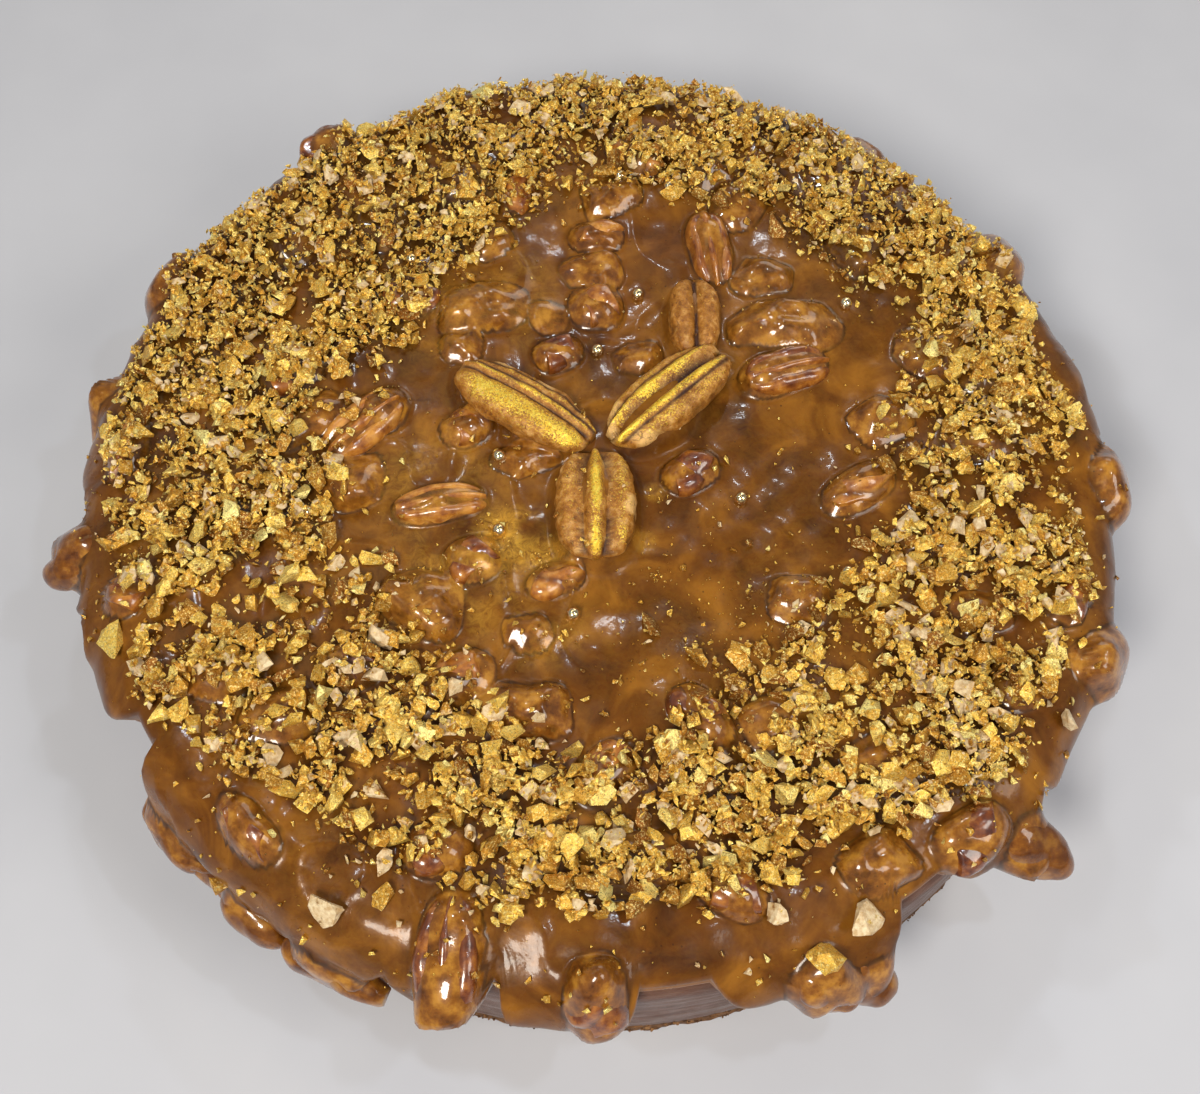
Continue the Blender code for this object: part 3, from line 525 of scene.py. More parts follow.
def raise_over(points, directions, lying, half_sizes, cover, fillet, warp=0.0, seed=None):
    """Push the surface out where a pecan lies in it, with a fillet round the pecan. Returns how close it is.

    The cover is the depth of caramel over the nut, and how much that depth varies.
    A seed makes the pecan an angular piece with a slanting top.
    """
    centre, ahead, across, normal = lying
    offset = points - centre
    near = (offset ** 2).sum(-1) < (half_sizes[0] * 1.5 + 3.0) ** 2
    offset = offset[near]
    along, sideways, level = offset @ ahead, offset @ across, offset @ normal
    along = along + warp * noise(points[near], 8.0, 18)
    sideways = sideways + warp * noise(points[near], 7.0, 19)
    u, v = along / half_sizes[0], sideways / half_sizes[1]
    inside = 1.0 - np.abs(u) ** 2.6 - np.abs(v) ** 2.2
    slant = 1.0
    if seed is not None:
        draw = np.random.default_rng(seed)
        inside = 1.0 - np.abs(u) ** 3.4 - np.abs(v) ** 3.0
        for turn in draw.uniform(0.0, math.tau) + np.array((0.0, 2.2, 3.9)):
            side = draw.uniform(0.85, 1.2) - u * math.cos(turn) - v * math.sin(turn)
            inside = np.minimum(inside, side * 1.6)
        slant += draw.uniform(-0.4, 0.4) * u + draw.uniform(-0.4, 0.4) * v
        slant += 0.25 * noise(points[near], 3.4, seed)
    dome = (np.sqrt(np.maximum(inside, 0.0) + EDGE_SOFTNESS) - math.sqrt(EDGE_SOFTNESS)) * 1.54
    height = half_sizes[2] * np.where(inside > 0.0, dome * slant, inside * 1.7)
    height += cover[0] + cover[1] * noise(points[near], 5.0, 17)
    facing = np.maximum(directions[near] @ normal, 0.6)
    push = np.clip(smooth_max(level, height, fillet) - level, 0.0, half_sizes[2] * 1.5)
    push *= smooth_step((level + half_sizes[2] + 2.5) / 2.5)
    points[near] += directions[near] * (push / facing)[:, None]
    closeness = np.zeros(len(points))
    closeness[near] = smooth_step((height - level + 1.5) / 2.2)
    return closeness


def caramel_surface():
    azimuth = np.arange(AZIMUTHS) * math.tau / AZIMUTHS
    start = THINNING_START
    edge = edge_run(azimuth)
    inner = np.linspace(CENTRE_RADIUS - SHOULDER_START, start - RING_SPACING, TOP_RINGS)
    outer = start + (edge - start) * np.linspace(0.0, 0.9, SKIRT_RINGS)[:, None]
    run = np.concatenate((inner[:, None] + 0.0 * azimuth, outer))
    angles = np.broadcast_to(azimuth, run.shape)
    share = np.maximum((run - start) / (edge - start), 0.0)
    rounding = np.clip((share - LIP_START) / LIP_SHARE, 0.0, 1.0)
    bulge = 1.0 + 0.10 * smooth_step((share - 0.45) / 0.3) * smooth_step((run - 2.0) / 6.0)
    thickness = caramel_thickness(angles, run) * bulge * np.sqrt(1.0 - rounding ** 2)
    points, directions = caramel_offset(angles.ravel(), run.ravel(), thickness.ravel())

    uneven = noise(points, 11.0, 1) * 0.8 + noise(points, 4.8, 2) * 0.3
    folds = (1.0 - np.abs(noise(points, 13.0, 5))) ** 7 * 0.7 * smooth_step(0.6 - points[:, 0] / 60.0)
    ripples = noise(points, 2.6, 3) * 0.15 * smooth_step((noise(points, 22.0, 4) + 0.1) * 2.0) + folds
    points += directions * ((uneven + ripples) * (1.0 - rounding.ravel() ** 2))[:, None]

    nut = np.zeros(len(points))
    for x, y, heading, length, width, height in COATED:
        turn = math.radians(heading)
        ahead = np.array((math.cos(turn), math.sin(turn), 0.0))
        across = np.array((-math.sin(turn), math.cos(turn), 0.0))
        centre = np.array((x, y, FILLING_TOP + TOP_THICKNESS + swell(x, y) - 0.4))
        half_sizes = (length / 2 + 0.8, width / 2 + 0.8, height * 1.25 + 0.9)
        lying = (centre, ahead, across, UPWARD)
        close = raise_over(points, directions, lying, half_sizes,
                           cover=(0.0, 0.3), fillet=1.5, warp=1.6, seed=int(x * 7 + y + 900))
        nut = np.maximum(nut, close)
    for row in HANGING:
        half_sizes = (row[3] / 2 + 1.0, row[4] / 2 + 1.0, row[5] * 0.42)
        close = raise_over(points, directions, hanging_frame(row), half_sizes,
                           cover=(-0.3, 0.4), fillet=3.0, warp=1.6)
        nut = np.maximum(nut, close)
    for name, (*lying, length, width, thickness) in PECAN_FRAMES.items():
        half_sizes = (length / 2, width / 2, thickness / 2)
        in_star = name in STAR_NODES
        cover, fillet = ((-1.8, 0.2), 1.0) if in_star else ((-0.4, 0.9), 2.6)
        close = raise_over(points, directions, lying, half_sizes, cover, fillet)
        nut = nut if in_star else np.maximum(nut, close)
    return azimuth, edge, points, nut, rounding.ravel()


def ring_faces(rows, columns):
    """Quads of a grid of rows that close on themselves, outward when each row lies outside the last."""
    row = np.arange(rows - 1)[:, None] * columns
    column = np.arange(columns)[None, :]
    following = (column + 1) % columns
    quads = np.stack((row + column, row + columns + column, row + columns + following, row + following), -1)
    return quads.reshape(-1, 4)


def capped(points, rows, columns, first_tip, last_tip):
    """Points and faces of a grid of rings that a tip closes at each end."""
    first = np.arange(columns)
    following = (first + 1) % columns
    last = (rows - 1) * columns
    faces = list(ring_faces(rows, columns))
    faces += list(np.stack((first, following, first * 0 + len(points)), -1))
    faces += list(np.stack((last + following, last + first, first * 0 + len(points) + 1), -1))
    return np.concatenate((points, (first_tip, last_tip))), faces


def caramel_piece():
    azimuth, edge, points, nut, rounding = caramel_surface()
    underside = []
    for step in range(1, LIP_RINGS + 1):
        curl = step / LIP_RINGS * math.pi / 2
        run = edge - 0.1 * (edge - THINNING_START) + LIP_DROP * math.sin(curl) + 0.2
        underside.append(caramel_offset(azimuth, run, LIP_HEIGHT * math.cos(curl) + LAYER_GAP)[0])
    for run in (SHOULDER_RUN, SHOULDER_RUN * 0.66, SHOULDER_RUN * 0.33, 0.0):
        run = np.minimum(run, edge - 1.0 - run * 0.05)
        underside.append(caramel_offset(azimuth, run, LAYER_GAP)[0])
    flat = (np.cos(azimuth) * UNDERSIDE_RADIUS, np.sin(azimuth) * UNDERSIDE_RADIUS)
    underside.append(np.stack((*flat, 0.0 * azimuth + FILLING_TOP + LAYER_GAP), -1))
    vertices = np.concatenate([points] + underside)
    under_middle = (0.0, 0.0, FILLING_TOP + LAYER_GAP)
    rows = len(vertices) // AZIMUTHS
    vertices, faces = capped(vertices, rows, AZIMUTHS, points[:AZIMUTHS].mean(0), under_middle)
    padding = len(vertices) - len(points)
    x, y = vertices[:, 0], vertices[:, 1]
    lustre = np.zeros(len(vertices))
    for spot_x, spot_y, radius, strength in LUSTRE:
        away = np.hypot(x - spot_x, y - spot_y) / radius
        lustre = np.maximum(lustre, strength * smooth_step(1.4 - away))
    lustre *= smooth_step(noise(vertices, 5.0, 8) + 0.75)
    lustre = np.maximum(lustre, 0.04 + 0.04 * noise(vertices, 20.0, 9))
    # Paler caramel at the lip and underside, partly a painted highlight along the edge
    thin = np.concatenate((smooth_step((rounding - 0.55) / 0.45) * 0.5, np.full(padding, 0.5)))
    # Painted shade among the chopped nuts, high on the top only
    strewn = ring_density(x, y) * smooth_step((vertices[:, 2] - CHIP_SHADE_FROM) / 4.0) * 0.85
    make_piece("caramel", "caramel_topping", "caramel", vertices, faces, CARAMEL,
               nut=np.concatenate((nut, np.zeros(padding))), lustre=lustre, thin=thin, strewn=strewn)
    return vertices, faces


# Pecans

# A pecan is a blend of rounded lobes. Each has its middle along, across and up, then its half size
# along, across and up, as shares of the nut's half sizes, then how much it widens outward.
STAR_LOBES = {
    "pecan_star_front": (
        (0.03, 0.0, -0.22, 0.90, 0.93, 0.58, 0.10), (0.0, -0.64, -0.04, 0.91, 0.34, 0.88, 0.12),
        (0.0, 0.0, 0.08, 0.98, 0.28, 0.92, 0.22), (0.0, 0.64, -0.04, 0.93, 0.34, 0.90, 0.12)),
    "pecan_star_right": (
        (0.04, 0.0, -0.28, 0.92, 0.93, 0.54, 0.15), (0.02, -0.32, 0.08, 0.97, 0.24, 0.92, 0.15),
        (0.05, -0.68, -0.05, 0.88, 0.33, 0.84, 0.15), (0.04, 0.41, 0.08, 0.95, 0.20, 0.88, 0.15),
        (0.02, 0.72, -0.05, 0.86, 0.29, 0.78, 0.15)),
    "pecan_star_left": (
        (0.0, 0.0, -0.22, 0.92, 0.93, 0.60, 0.0), (0.02, 0.42, 0.03, 0.97, 0.58, 0.95, 0.0),
        (0.0, -0.27, 0.08, 0.95, 0.19, 0.86, 0.0), (-0.05, -0.58, 0.0, 0.92, 0.20, 0.80, 0.0),
        (-0.02, -0.82, -0.12, 0.76, 0.16, 0.64, 0.0)),
    "pecan_star_back": (
        (0.0, 0.0, -0.22, 0.92, 0.93, 0.60, 0.0), (0.02, -0.51, 0.02, 0.96, 0.48, 0.92, 0.0),
        (-0.02, 0.51, 0.02, 0.97, 0.48, 0.95, 0.0)),
}
HALF_LOBES = (
    (0.0, 0.0, -0.2, 0.93, 0.93, 0.68, 0.0), (0.0, -0.62, -0.05, 0.90, 0.38, 0.86, 0.0),
    (0.0, 0.0, 0.1, 0.98, 0.25, 0.88, 0.3), (0.0, 0.62, -0.05, 0.92, 0.38, 0.86, 0.0),
)
PIECE_LOBES = (
    (0.0, 0.0, -0.15, 0.98, 0.98, 0.78, 0.0), (-0.25, -0.25, 0.1, 0.78, 0.75, 0.88, 0.0),
    (0.4, 0.35, 0.0, 0.62, 0.66, 0.86, 0.0),
)
LOBE_POWER = 2.2
LOBE_BOW = 0.42
CREASE_SOFTNESS = 0.3

# Rows along a pecan and points round it
STAR_GRID = (110, 110)
BARE_GRID = (48, 52)
HANGING_GRID = (44, 44)
# Length from which a bare pecan is a whole half
SHORTEST_HALF = 19

# Stripes of gold dust on the star: place across, half width, strength
STAR_DUST = {
    "pecan_star_front": ((0.02, 0.13, 0.9), (0.66, 0.14, 0.34), (-0.60, 0.12, 0.16)),
    "pecan_star_right": ((-0.30, 0.12, 1.0), (0.42, 0.10, 1.0), (-0.72, 0.18, 0.25), (0.76, 0.12, 0.25)),
    "pecan_star_left": ((0.34, 0.42, 0.80), (-0.30, 0.10, 1.0), (-0.60, 0.10, 0.45)),
    "pecan_star_back": ((0.0, 1.0, 0.06),),
}


def unit_rows(vectors):
    return vectors / np.maximum(np.linalg.norm(vectors, axis=-1, keepdims=True), 1e-9)


def placed(vertices, centre, ahead, across, normal):
    return centre + vertices @ np.stack((ahead, across, normal))


def lobe_distances(points, lobes, half_sizes):
    """How far points lie outside each lobe, negative inside."""
    distances = []
    for lobe in lobes:
        reach = np.array(lobe[3:6]) * half_sizes
        share = points[..., 0] / half_sizes[0]
        scaled = (points - np.array(lobe[:3]) * half_sizes) / reach
        scaled[..., 1] += lobe[1] / lobe[4] * LOBE_BOW * np.minimum(np.abs(share), 1.0) ** 3
        scaled[..., 1] /= 1.0 + lobe[6] * share
        scaled = np.abs(scaled)
        distances.append(((scaled ** LOBE_POWER).sum(-1) ** (1.0 / LOBE_POWER) - 1.0) * reach.min())
    return np.stack(distances)


def blended(points, lobes, half_sizes):
    scaled = lobe_distances(points, lobes, half_sizes) / CREASE_SOFTNESS
    return -CREASE_SOFTNESS * np.log(np.exp(-np.minimum(scaled, 60.0)).sum(0) + 1e-30)


def pecan_shape(length, width, thickness, rows, columns, seed, lobes, cuts=0, fine=0.0, coarse=0.4):
    """Points of a pecan about its middle, X along it, with how deep in creases each point lies, used as
    painted shade.
    """
    draw = np.random.default_rng(seed)
    half_sizes = np.array((length, width, thickness)) / 2
    along = -np.cos(math.pi * (np.arange(rows) + 0.5) / rows)
    angle = math.tau * np.arange(columns) / columns
    u, a = np.meshgrid(along, angle, indexing="ij")
    axis = np.stack((u * length / 2, 0 * u, 0 * u), -1)
    direction = np.stack((0 * a, np.cos(a), np.sin(a)), -1)
    step = max(width, thickness) / 60
    inner, outer, found = np.zeros_like(u), np.zeros_like(u), np.zeros(u.shape, bool)
    for reach in np.arange(max(width, thickness) * 0.56, 0.0, -step):
        inside = blended(axis + direction * reach, lobes, half_sizes) < 0.0
        first = inside & ~found
        inner[first], outer[first] = reach, reach + step
        found |= inside
    for _halving in range(6):
        middle = (inner + outer) / 2
        inside = blended(axis + direction * middle[..., None], lobes, half_sizes) < 0.0
        inner, outer = np.where(inside, middle, inner), np.where(inside, outer, middle)
    points = (axis + direction * inner[..., None]).reshape(-1, 3)

    # Painted shade: deep in creases, over the lower lobe between the crests, and in dents of the relief
    distances = lobe_distances(points, lobes, half_sizes)
    ordered = np.sort(distances, axis=0)
    crease_shade = smooth_step(1.0 - (ordered[1] - ordered[0]) / 0.7) * 0.8
    crease_shade = np.maximum(crease_shade, distances.argmin(0) == 0)
    crease_shade *= smooth_step(points[:, 2] / thickness * 5.0 + 0.4)
    for _cut in range(cuts):
        turn = draw.uniform(0.0, math.tau)
        plane = unit(np.array((math.cos(turn), math.sin(turn), draw.uniform(-0.1, 0.9))))
        limit = draw.uniform(0.62, 0.85) * np.linalg.norm(plane * half_sizes)
        points -= np.maximum(points @ plane - limit, 0.0)[:, None] * plane
    outward = unit_rows(points * np.array((0.25 / length, 1.0 / width, 1.0 / thickness)))
    shift = draw.uniform(-50, 50, 3)
    lengthwise = points * np.array((0.28, 1.0, 1.0)) + shift
    relief = noise(lengthwise, 1.6, 2) * 0.16 + noise(points + shift, 4.2, 7) * coarse
    if fine:
        crinkle = smooth_step(0.5 - points[:, 2] / thickness * 2.0)
        relief += fine * (noise(lengthwise, 0.8, 1) * 0.14 + noise(points + shift, 1.0, 3) * 0.10)
        relief += fine * noise(points * np.array((1.0, 0.35, 0.35)) + shift, 1.5, 4) * (0.10 + 0.22 * crinkle)
    points = points + outward * relief[:, None]
    vertices, faces = capped(points, rows, columns, points[:columns].mean(0), points[-columns:].mean(0))
    # Dents of the relief add painted shade
    crease_shade = np.clip(crease_shade + np.clip(-relief, 0.0, 0.4), 0.0, 1.0)
    return vertices, faces, np.concatenate((crease_shade, (0.0, 0.0)))


def star_pecans():
    shapes = []
    for order, name in enumerate(STAR_NODES):
        *lying, length, width, thickness = PECAN_FRAMES[name]
        vertices, faces, groove = pecan_shape(
            length, width, thickness, *STAR_GRID, 40 + order, STAR_LOBES[name], fine=1.0, coarse=0.3)
        sideways = vertices[:, 1] / width * 2
        raised = smooth_step(vertices[:, 2] / thickness * 5.0 - 0.2)
        dust = np.zeros(len(vertices))
        for place, half_width, strength in STAR_DUST[name]:
            stripe = np.exp(-((sideways - place) / half_width) ** 2)
            dust = np.maximum(dust, strength * stripe * (0.35 + 0.65 * raised))
        dust = np.clip(dust + 0.16 * STAR_DUST[name][0][2] * raised, 0.0, 1.0)
        dust *= (0.75 + 0.55 * noise(vertices + order * 31.0, 4.5, 9)) * (1.0 - smooth_step(groove * 1.3))
        tone = 0.40 * smooth_step(noise(vertices + order * 9.0, 5.5, 10) * 2.0 - 0.55)
        tone = tone if name != "pecan_star_back" else tone * 0.2 - 0.02
        vertices = placed(vertices, *lying)
        make_piece(name + "_nut", name, "golden_pecan", vertices, faces, GOLDEN_PECAN,
                   groove=smooth_step(groove), dust=dust, tone=tone)
        shapes.append((vertices, faces))
    return shapes


def bare_pecans():
    shapes = []
    draw = np.random.default_rng(21)
    for order, name in enumerate(BARE_NODES):
        *lying, length, width, thickness = PECAN_FRAMES[name]
        lobes, cuts = (HALF_LOBES, 0) if length > SHORTEST_HALF else (PIECE_LOBES, 4)
        vertices, faces, groove = pecan_shape(
            length, width, thickness, *BARE_GRID, 70 + order, lobes, cuts, fine=0.35, coarse=0.5)
        tone = np.full(len(vertices), draw.uniform(-0.12, 0.14))
        vertices = placed(vertices, *lying)
        make_piece(name + "_nut", name, "wet_pecan", vertices, faces, WET_PECAN,
                   groove=groove * 0.7, tone=tone)
        shapes.append((vertices, faces))
    return shapes


def hanging_pecans():
    """Pecans under a smooth coat of caramel that hang from the edge, joined as one piece."""
    shapes, nuts = [], []
    for seed, row in enumerate(HANGING[:FREE_HANGING], 130):
        vertices, faces, _crease_shade = pecan_shape(*row[3:6], *HANGING_GRID, seed, PIECE_LOBES)
        shift = seed * 17.3
        outward = unit_rows(vertices * np.array((0.3, 1.0, 1.0)))
        lumps = 0.5 + 1.0 * noise(vertices + shift, 7.0, 51) + 0.35 * noise(vertices + shift, 3.2, 52)
        vertices = vertices + outward * lumps[:, None]
        shows = smooth_step(0.35 + np.abs(vertices[:, 0]) / row[3] + 0.6 * noise(vertices + shift, 7.0, 53))
        centre, ahead, across, normal = hanging_frame(row)
        shapes.append((placed(vertices, centre - normal * 0.9, ahead, across, normal), faces))
        nuts.append(0.72 + 0.28 * shows)
    vertices, faces = joined(shapes)
    zeros = np.zeros(len(vertices))
    make_piece("hanging_pecans", "caramel_topping", "caramel", vertices, faces, CARAMEL,
               nut=np.concatenate(nuts), lustre=zeros, thin=zeros)
    return vertices, faces


def joined(shapes):
    vertices, faces, start = [], [], 0
    for points, polygons in shapes:
        vertices.append(points)
        faces += [polygon + start for polygon in polygons]
        start += len(points)
    return np.concatenate(vertices), faces


# Chopped nuts

RASTER_STEP = 0.6
RASTER_REACH = 121.0
SLOPE_CELLS = 2
ABOVE_ALL = 90.0
LOWEST_CHIP = 30.0
HIGHEST_CHIP = 61.5
STEEPEST_SLOPE = 2.5
SCATTER_RADIUS = 118.0

# How many places are drawn for each kind. Some of them stay empty.
MEDIUM_CHIPS = 5600
SMALL_CHIPS = 14000
DUST_GRAINS = 14500
SIDE_CRUMBS = 900


class Heights:
    """The height of what has been laid on the cake so far, on a fine square grid."""

    def __init__(self, shapes):
        vertices, faces = joined(shapes)
        tree = BVHTree.FromPolygons(vertices.tolist(), [face.tolist() for face in faces])
        self.size = int(2 * RASTER_REACH / RASTER_STEP) + 1
        self.grid = np.full((self.size, self.size), -1.0)
        places = np.arange(self.size) * RASTER_STEP - RASTER_REACH
        for row, y in enumerate(places):
            for column, x in enumerate(places):
                if math.hypot(x, y) < RASTER_REACH:
                    hit = tree.ray_cast(Vector((x, y, ABOVE_ALL)), Vector((0.0, 0.0, -1.0)))[0]
                    if hit is not None:
                        self.grid[row, column] = hit.z
        self.base = self.grid.copy()

    def cell(self, x, y):
        cells = np.rint((np.array((y, x)) + RASTER_REACH) / RASTER_STEP).astype(int)
        return tuple(np.clip(cells, SLOPE_CELLS, self.size - 1 - SLOPE_CELLS))

    def normal(self, x, y):
        row, column = self.cell(x, y)
        slope_x = self.grid[row, column + SLOPE_CELLS] - self.grid[row, column - SLOPE_CELLS]
        slope_y = self.grid[row + SLOPE_CELLS, column] - self.grid[row - SLOPE_CELLS, column]
        slopes = -np.stack((slope_x, slope_y)) / (2 * SLOPE_CELLS * RASTER_STEP)
        slopes = np.clip(slopes, -STEEPEST_SLOPE, STEEPEST_SLOPE)
        return unit_rows(np.stack((*slopes, np.ones_like(slope_x)), -1))

    def lay(self, x, y, radius, top):
        """Raise the grid under one chip to its rounded top."""
        row, column = self.cell(x, y)
        reach = int(radius / RASTER_STEP)
        window = self.grid[row - reach:row + reach + 1, column - reach:column + reach + 1]
        span = np.arange(-reach, reach + 1) / (reach + 0.5)
        dome = top - radius * 0.3 * (span[:, None] ** 2 + span[None, :] ** 2)
        np.maximum(window, np.where(window > 0, dome, window), out=window)


def shard_prototypes(count, corners, cuts, seed, flatness):
    """Angular chips: hulls of a few random points, each face cut finer and made slightly rough."""
    draw = np.random.default_rng(seed)
    prototypes = []
    for _index in range(count):
        shape = bmesh.new()
        sizes = np.array((1.0, draw.uniform(0.6, 0.95), draw.uniform(0.5, 0.8) * flatness))
        for point in unit_rows(draw.normal(size=(corners, 3))) * draw.uniform(0.72, 1.0, (corners, 1)):
            shape.verts.new(point * sizes)
        hull = bmesh.ops.convex_hull(shape, input=shape.verts)
        unused = {item for item in hull["geom_interior"] if isinstance(item, bmesh.types.BMVert)}
        bmesh.ops.delete(shape, geom=list(unused), context="VERTS")
        for _cut in range(cuts):
            bmesh.ops.subdivide_edges(shape, edges=shape.edges, cuts=1, use_grid_fill=True)
        bmesh.ops.triangulate(shape, faces=shape.faces)
        shape.verts.index_update()
        points = np.array([vertex.co for vertex in shape.verts])
        faces = np.array([[vertex.index for vertex in face.verts] for face in shape.faces])
        shape.free()
        if cuts:
            shift = draw.uniform(-50, 50, 3)
            roughness = 0.07 * noise(points + shift, 0.4, 4) + 0.04 * noise(points + shift, 0.17, 5)
            points = points * (1.0 + roughness)[:, None]
        prototypes.append((points, faces))
    return prototypes


def strewn_piece(name, node, slot, material, shapes, values, labels):
    """Many small solids as one piece. The values given for a solid hold for all its points."""
    vertices, faces = joined(shapes)
    spread = np.repeat(values, [len(points) for points, _faces in shapes], axis=0).T
    make_piece(name, node, slot, vertices, faces, material, smooth=False, **dict(zip(labels, spread)))


def ring_density(x, y):
    """How thickly the chopped nuts lie, 0 to 1."""
    table = np.array(RING + ((360,) + RING[0][1:],), float)
    azimuth = np.degrees(np.arctan2(y, x)) % 360.0
    begin, full, end = (np.interp(azimuth, table[:, 0], table[:, column]) for column in (1, 2, 3))
    points = np.stack((x, y, 0 * x), -1)
    radius = np.hypot(x, y) + noise(points, 13.0, 11) * 5.0
    inner = smooth_step((radius - begin) / np.maximum(full - begin, 8.0))
    outer = smooth_step((end + 3.0 - radius) / 7.0)
    thicker = 0.70 + 0.28 * smooth_step((y + 10.0) / 50.0)
    patches = thicker + 0.85 * noise(points, 9.0, 12) + 0.45 * noise(points, 3.8, 13)
    return np.clip(inner ** 1.4 * outer * np.clip(patches, 0.04, 1.2), 0.0, 1.0)


def scatter_spots(count, draw, weigh):
    """Random places on the top, kept by a weight from 0 to 1."""
    spots = np.zeros((0, 2))
    while len(spots) < count:
        angle = draw.uniform(0.0, math.tau, count * 2)
        radius = SCATTER_RADIUS * np.sqrt(draw.uniform(0.0, 1.0, count * 2))
        x, y = radius * np.cos(angle), radius * np.sin(angle)
        keep = draw.uniform(0.0, 1.0, len(x)) < weigh(x, y)
        spots = np.concatenate((spots, np.stack((x[keep], y[keep]), -1)))
    return spots[:count]


def turned(points, normal, spin, tilt_x, tilt_y):
    """Points turned to lie on a surface with that normal."""
    ahead = unit(np.cross((0.0, 1.0, 0.001), normal))
    across = np.cross(normal, ahead)
    basis = np.stack((ahead, across, normal))
    turn = Matrix.Rotation(spin, 3, "Z") @ Matrix.Rotation(tilt_x, 3, "X") @ Matrix.Rotation(tilt_y, 3, "Y")
    return points @ np.array(turn).T @ basis


def lay_chips(name, spots, sizes, prototypes, heights, draw, tilt, sink, pale_share, pile, keep_heights=True):
    """Lay chips one by one on what is there, and join them into one piece.

    The pile is how far what was laid before may stand above the caramel where a chip goes.
    """
    shapes, values = [], []
    normals = heights.normal(spots[:, 0], spots[:, 1])
    for (x, y), size, normal in zip(spots, sizes, normals):
        cell = heights.cell(x, y)
        level, ground = heights.grid[cell], heights.base[cell]
        if level < LOWEST_CHIP or level + size * 0.7 > HIGHEST_CHIP or level > ground + pile:
            continue
        shape, faces = prototypes[draw.integers(len(prototypes))]
        spin = draw.uniform(0, math.tau)
        points = turned(shape * (size / 2), normal, spin, *draw.uniform(-tilt, tilt, 2))
        lift = np.abs(points[:, 2]).max() * (1.0 - sink)
        # Random tone, darker for chips that lie right on the caramel: painted shade low in the pile
        tone = draw.normal(0.27, 0.20) - 0.16 * (level < ground + 0.4)
        bare = draw.uniform() < pale_share
        pale = draw.uniform(0.22, 0.42) if bare else draw.uniform(-0.35, 0.05)
        shapes.append((points + np.array((x, y, level + lift)), faces))
        values.append((tone, pale))
        if keep_heights:
            heights.lay(x, y, size * 0.36, level + 2 * lift * 0.86)
    strewn_piece(name, "caramel_topping", "gold_chips", GOLD_CHIPS, shapes, values, ("tone", "pale"))


def chopped_nuts(heights):
    draw = np.random.default_rng(5)
    large = np.array(LARGE_CHIPS)
    shards = shard_prototypes(count=16, corners=13, cuts=2, seed=61, flatness=0.85)
    lay_chips("gold_chips_large", large[:, :2], large[:, 2] * 1.15, shards, heights, draw,
              tilt=0.3, sink=0.3, pale_share=0.35, pile=2.0)

    def coarse_strewing(x, y):
        """Coarsely chopped at the front and sides, and less so towards the back."""
        wander = noise(np.stack((x, y, 0 * x), -1), 25.0, 14) * 30.0
        return ring_density(x, y) * (0.25 + 0.75 * smooth_step((25.0 - y + wander) / 60.0))

    spots = scatter_spots(MEDIUM_CHIPS, draw, coarse_strewing)
    sizes = 2.8 + 5.0 * draw.uniform(0.0, 1.0, len(spots)) ** 2.3
    shards = shard_prototypes(count=24, corners=11, cuts=1, seed=62, flatness=0.72)
    lay_chips("gold_chips_medium", spots, np.sort(sizes)[::-1], shards, heights, draw,
              tilt=0.6, sink=0.25, pale_share=0.12, pile=1.6)

    def fine_strewing(x, y):
        return ring_density(x, y) + 0.035 * smooth_step((20.0 - y) / 40.0)

    spots = scatter_spots(SMALL_CHIPS, draw, fine_strewing)
    sizes = 1.2 + 2.0 * draw.uniform(0.0, 1.0, len(spots)) ** 1.4
    shards = shard_prototypes(count=24, corners=8, cuts=0, seed=63, flatness=0.9)
    lay_chips("gold_chips_small", spots, np.sort(sizes)[::-1], shards, heights, draw,
              tilt=0.9, sink=0.2, pale_share=0.06, pile=3.0)

    def dusting(x, y):
        patch = np.exp(-(((x - 35) / 22) ** 2 + ((y + 42) / 13) ** 2)) * 0.6
        for flake_x, flake_y, radius in FLAKES:
            patch += np.exp(-((x - flake_x) ** 2 + (y - flake_y) ** 2) / radius ** 2) * 0.8
        return np.clip(ring_density(x, y) + 0.035 + patch, 0.0, 1.0)

    spots = scatter_spots(DUST_GRAINS, draw, dusting)
    sizes = draw.uniform(0.4, 1.15, len(spots))
    shards = shard_prototypes(count=10, corners=5, cuts=0, seed=64, flatness=1.0)
    lay_chips("gold_dust", spots, sizes, shards, heights, draw,
              tilt=1.4, sink=0.2, pale_share=0.03, pile=5.0, keep_heights=False)


BALL_SEGMENTS = 28
BALL_RINGS = 16


def metallic_balls(heights):
    polar = math.pi * (np.arange(BALL_RINGS) + 0.5) / BALL_RINGS
    angle = math.tau * np.arange(BALL_SEGMENTS) / BALL_SEGMENTS
    p, a = np.meshgrid(polar, angle, indexing="ij")
    ball = np.stack((np.sin(p) * np.cos(a), np.sin(p) * np.sin(a), np.cos(p)), -1).reshape(-1, 3)
    tips = ((0, 0, BALL_RADIUS), (0, 0, -BALL_RADIUS))
    ball, faces = capped(ball * BALL_RADIUS, BALL_RINGS, BALL_SEGMENTS, *tips)
    shapes = []
    for x, y in BALLS:
        level = heights.grid[heights.cell(x, y)] + BALL_RADIUS * 0.55
        shapes.append((ball + np.array((x, y, level)), faces))
    make_piece("metallic_balls", "caramel_topping", "metallic_balls", *joined(shapes), ball_material())


# Filling and crumb base

WALL_STEPS = 34
SHOULDER_STEPS = 8


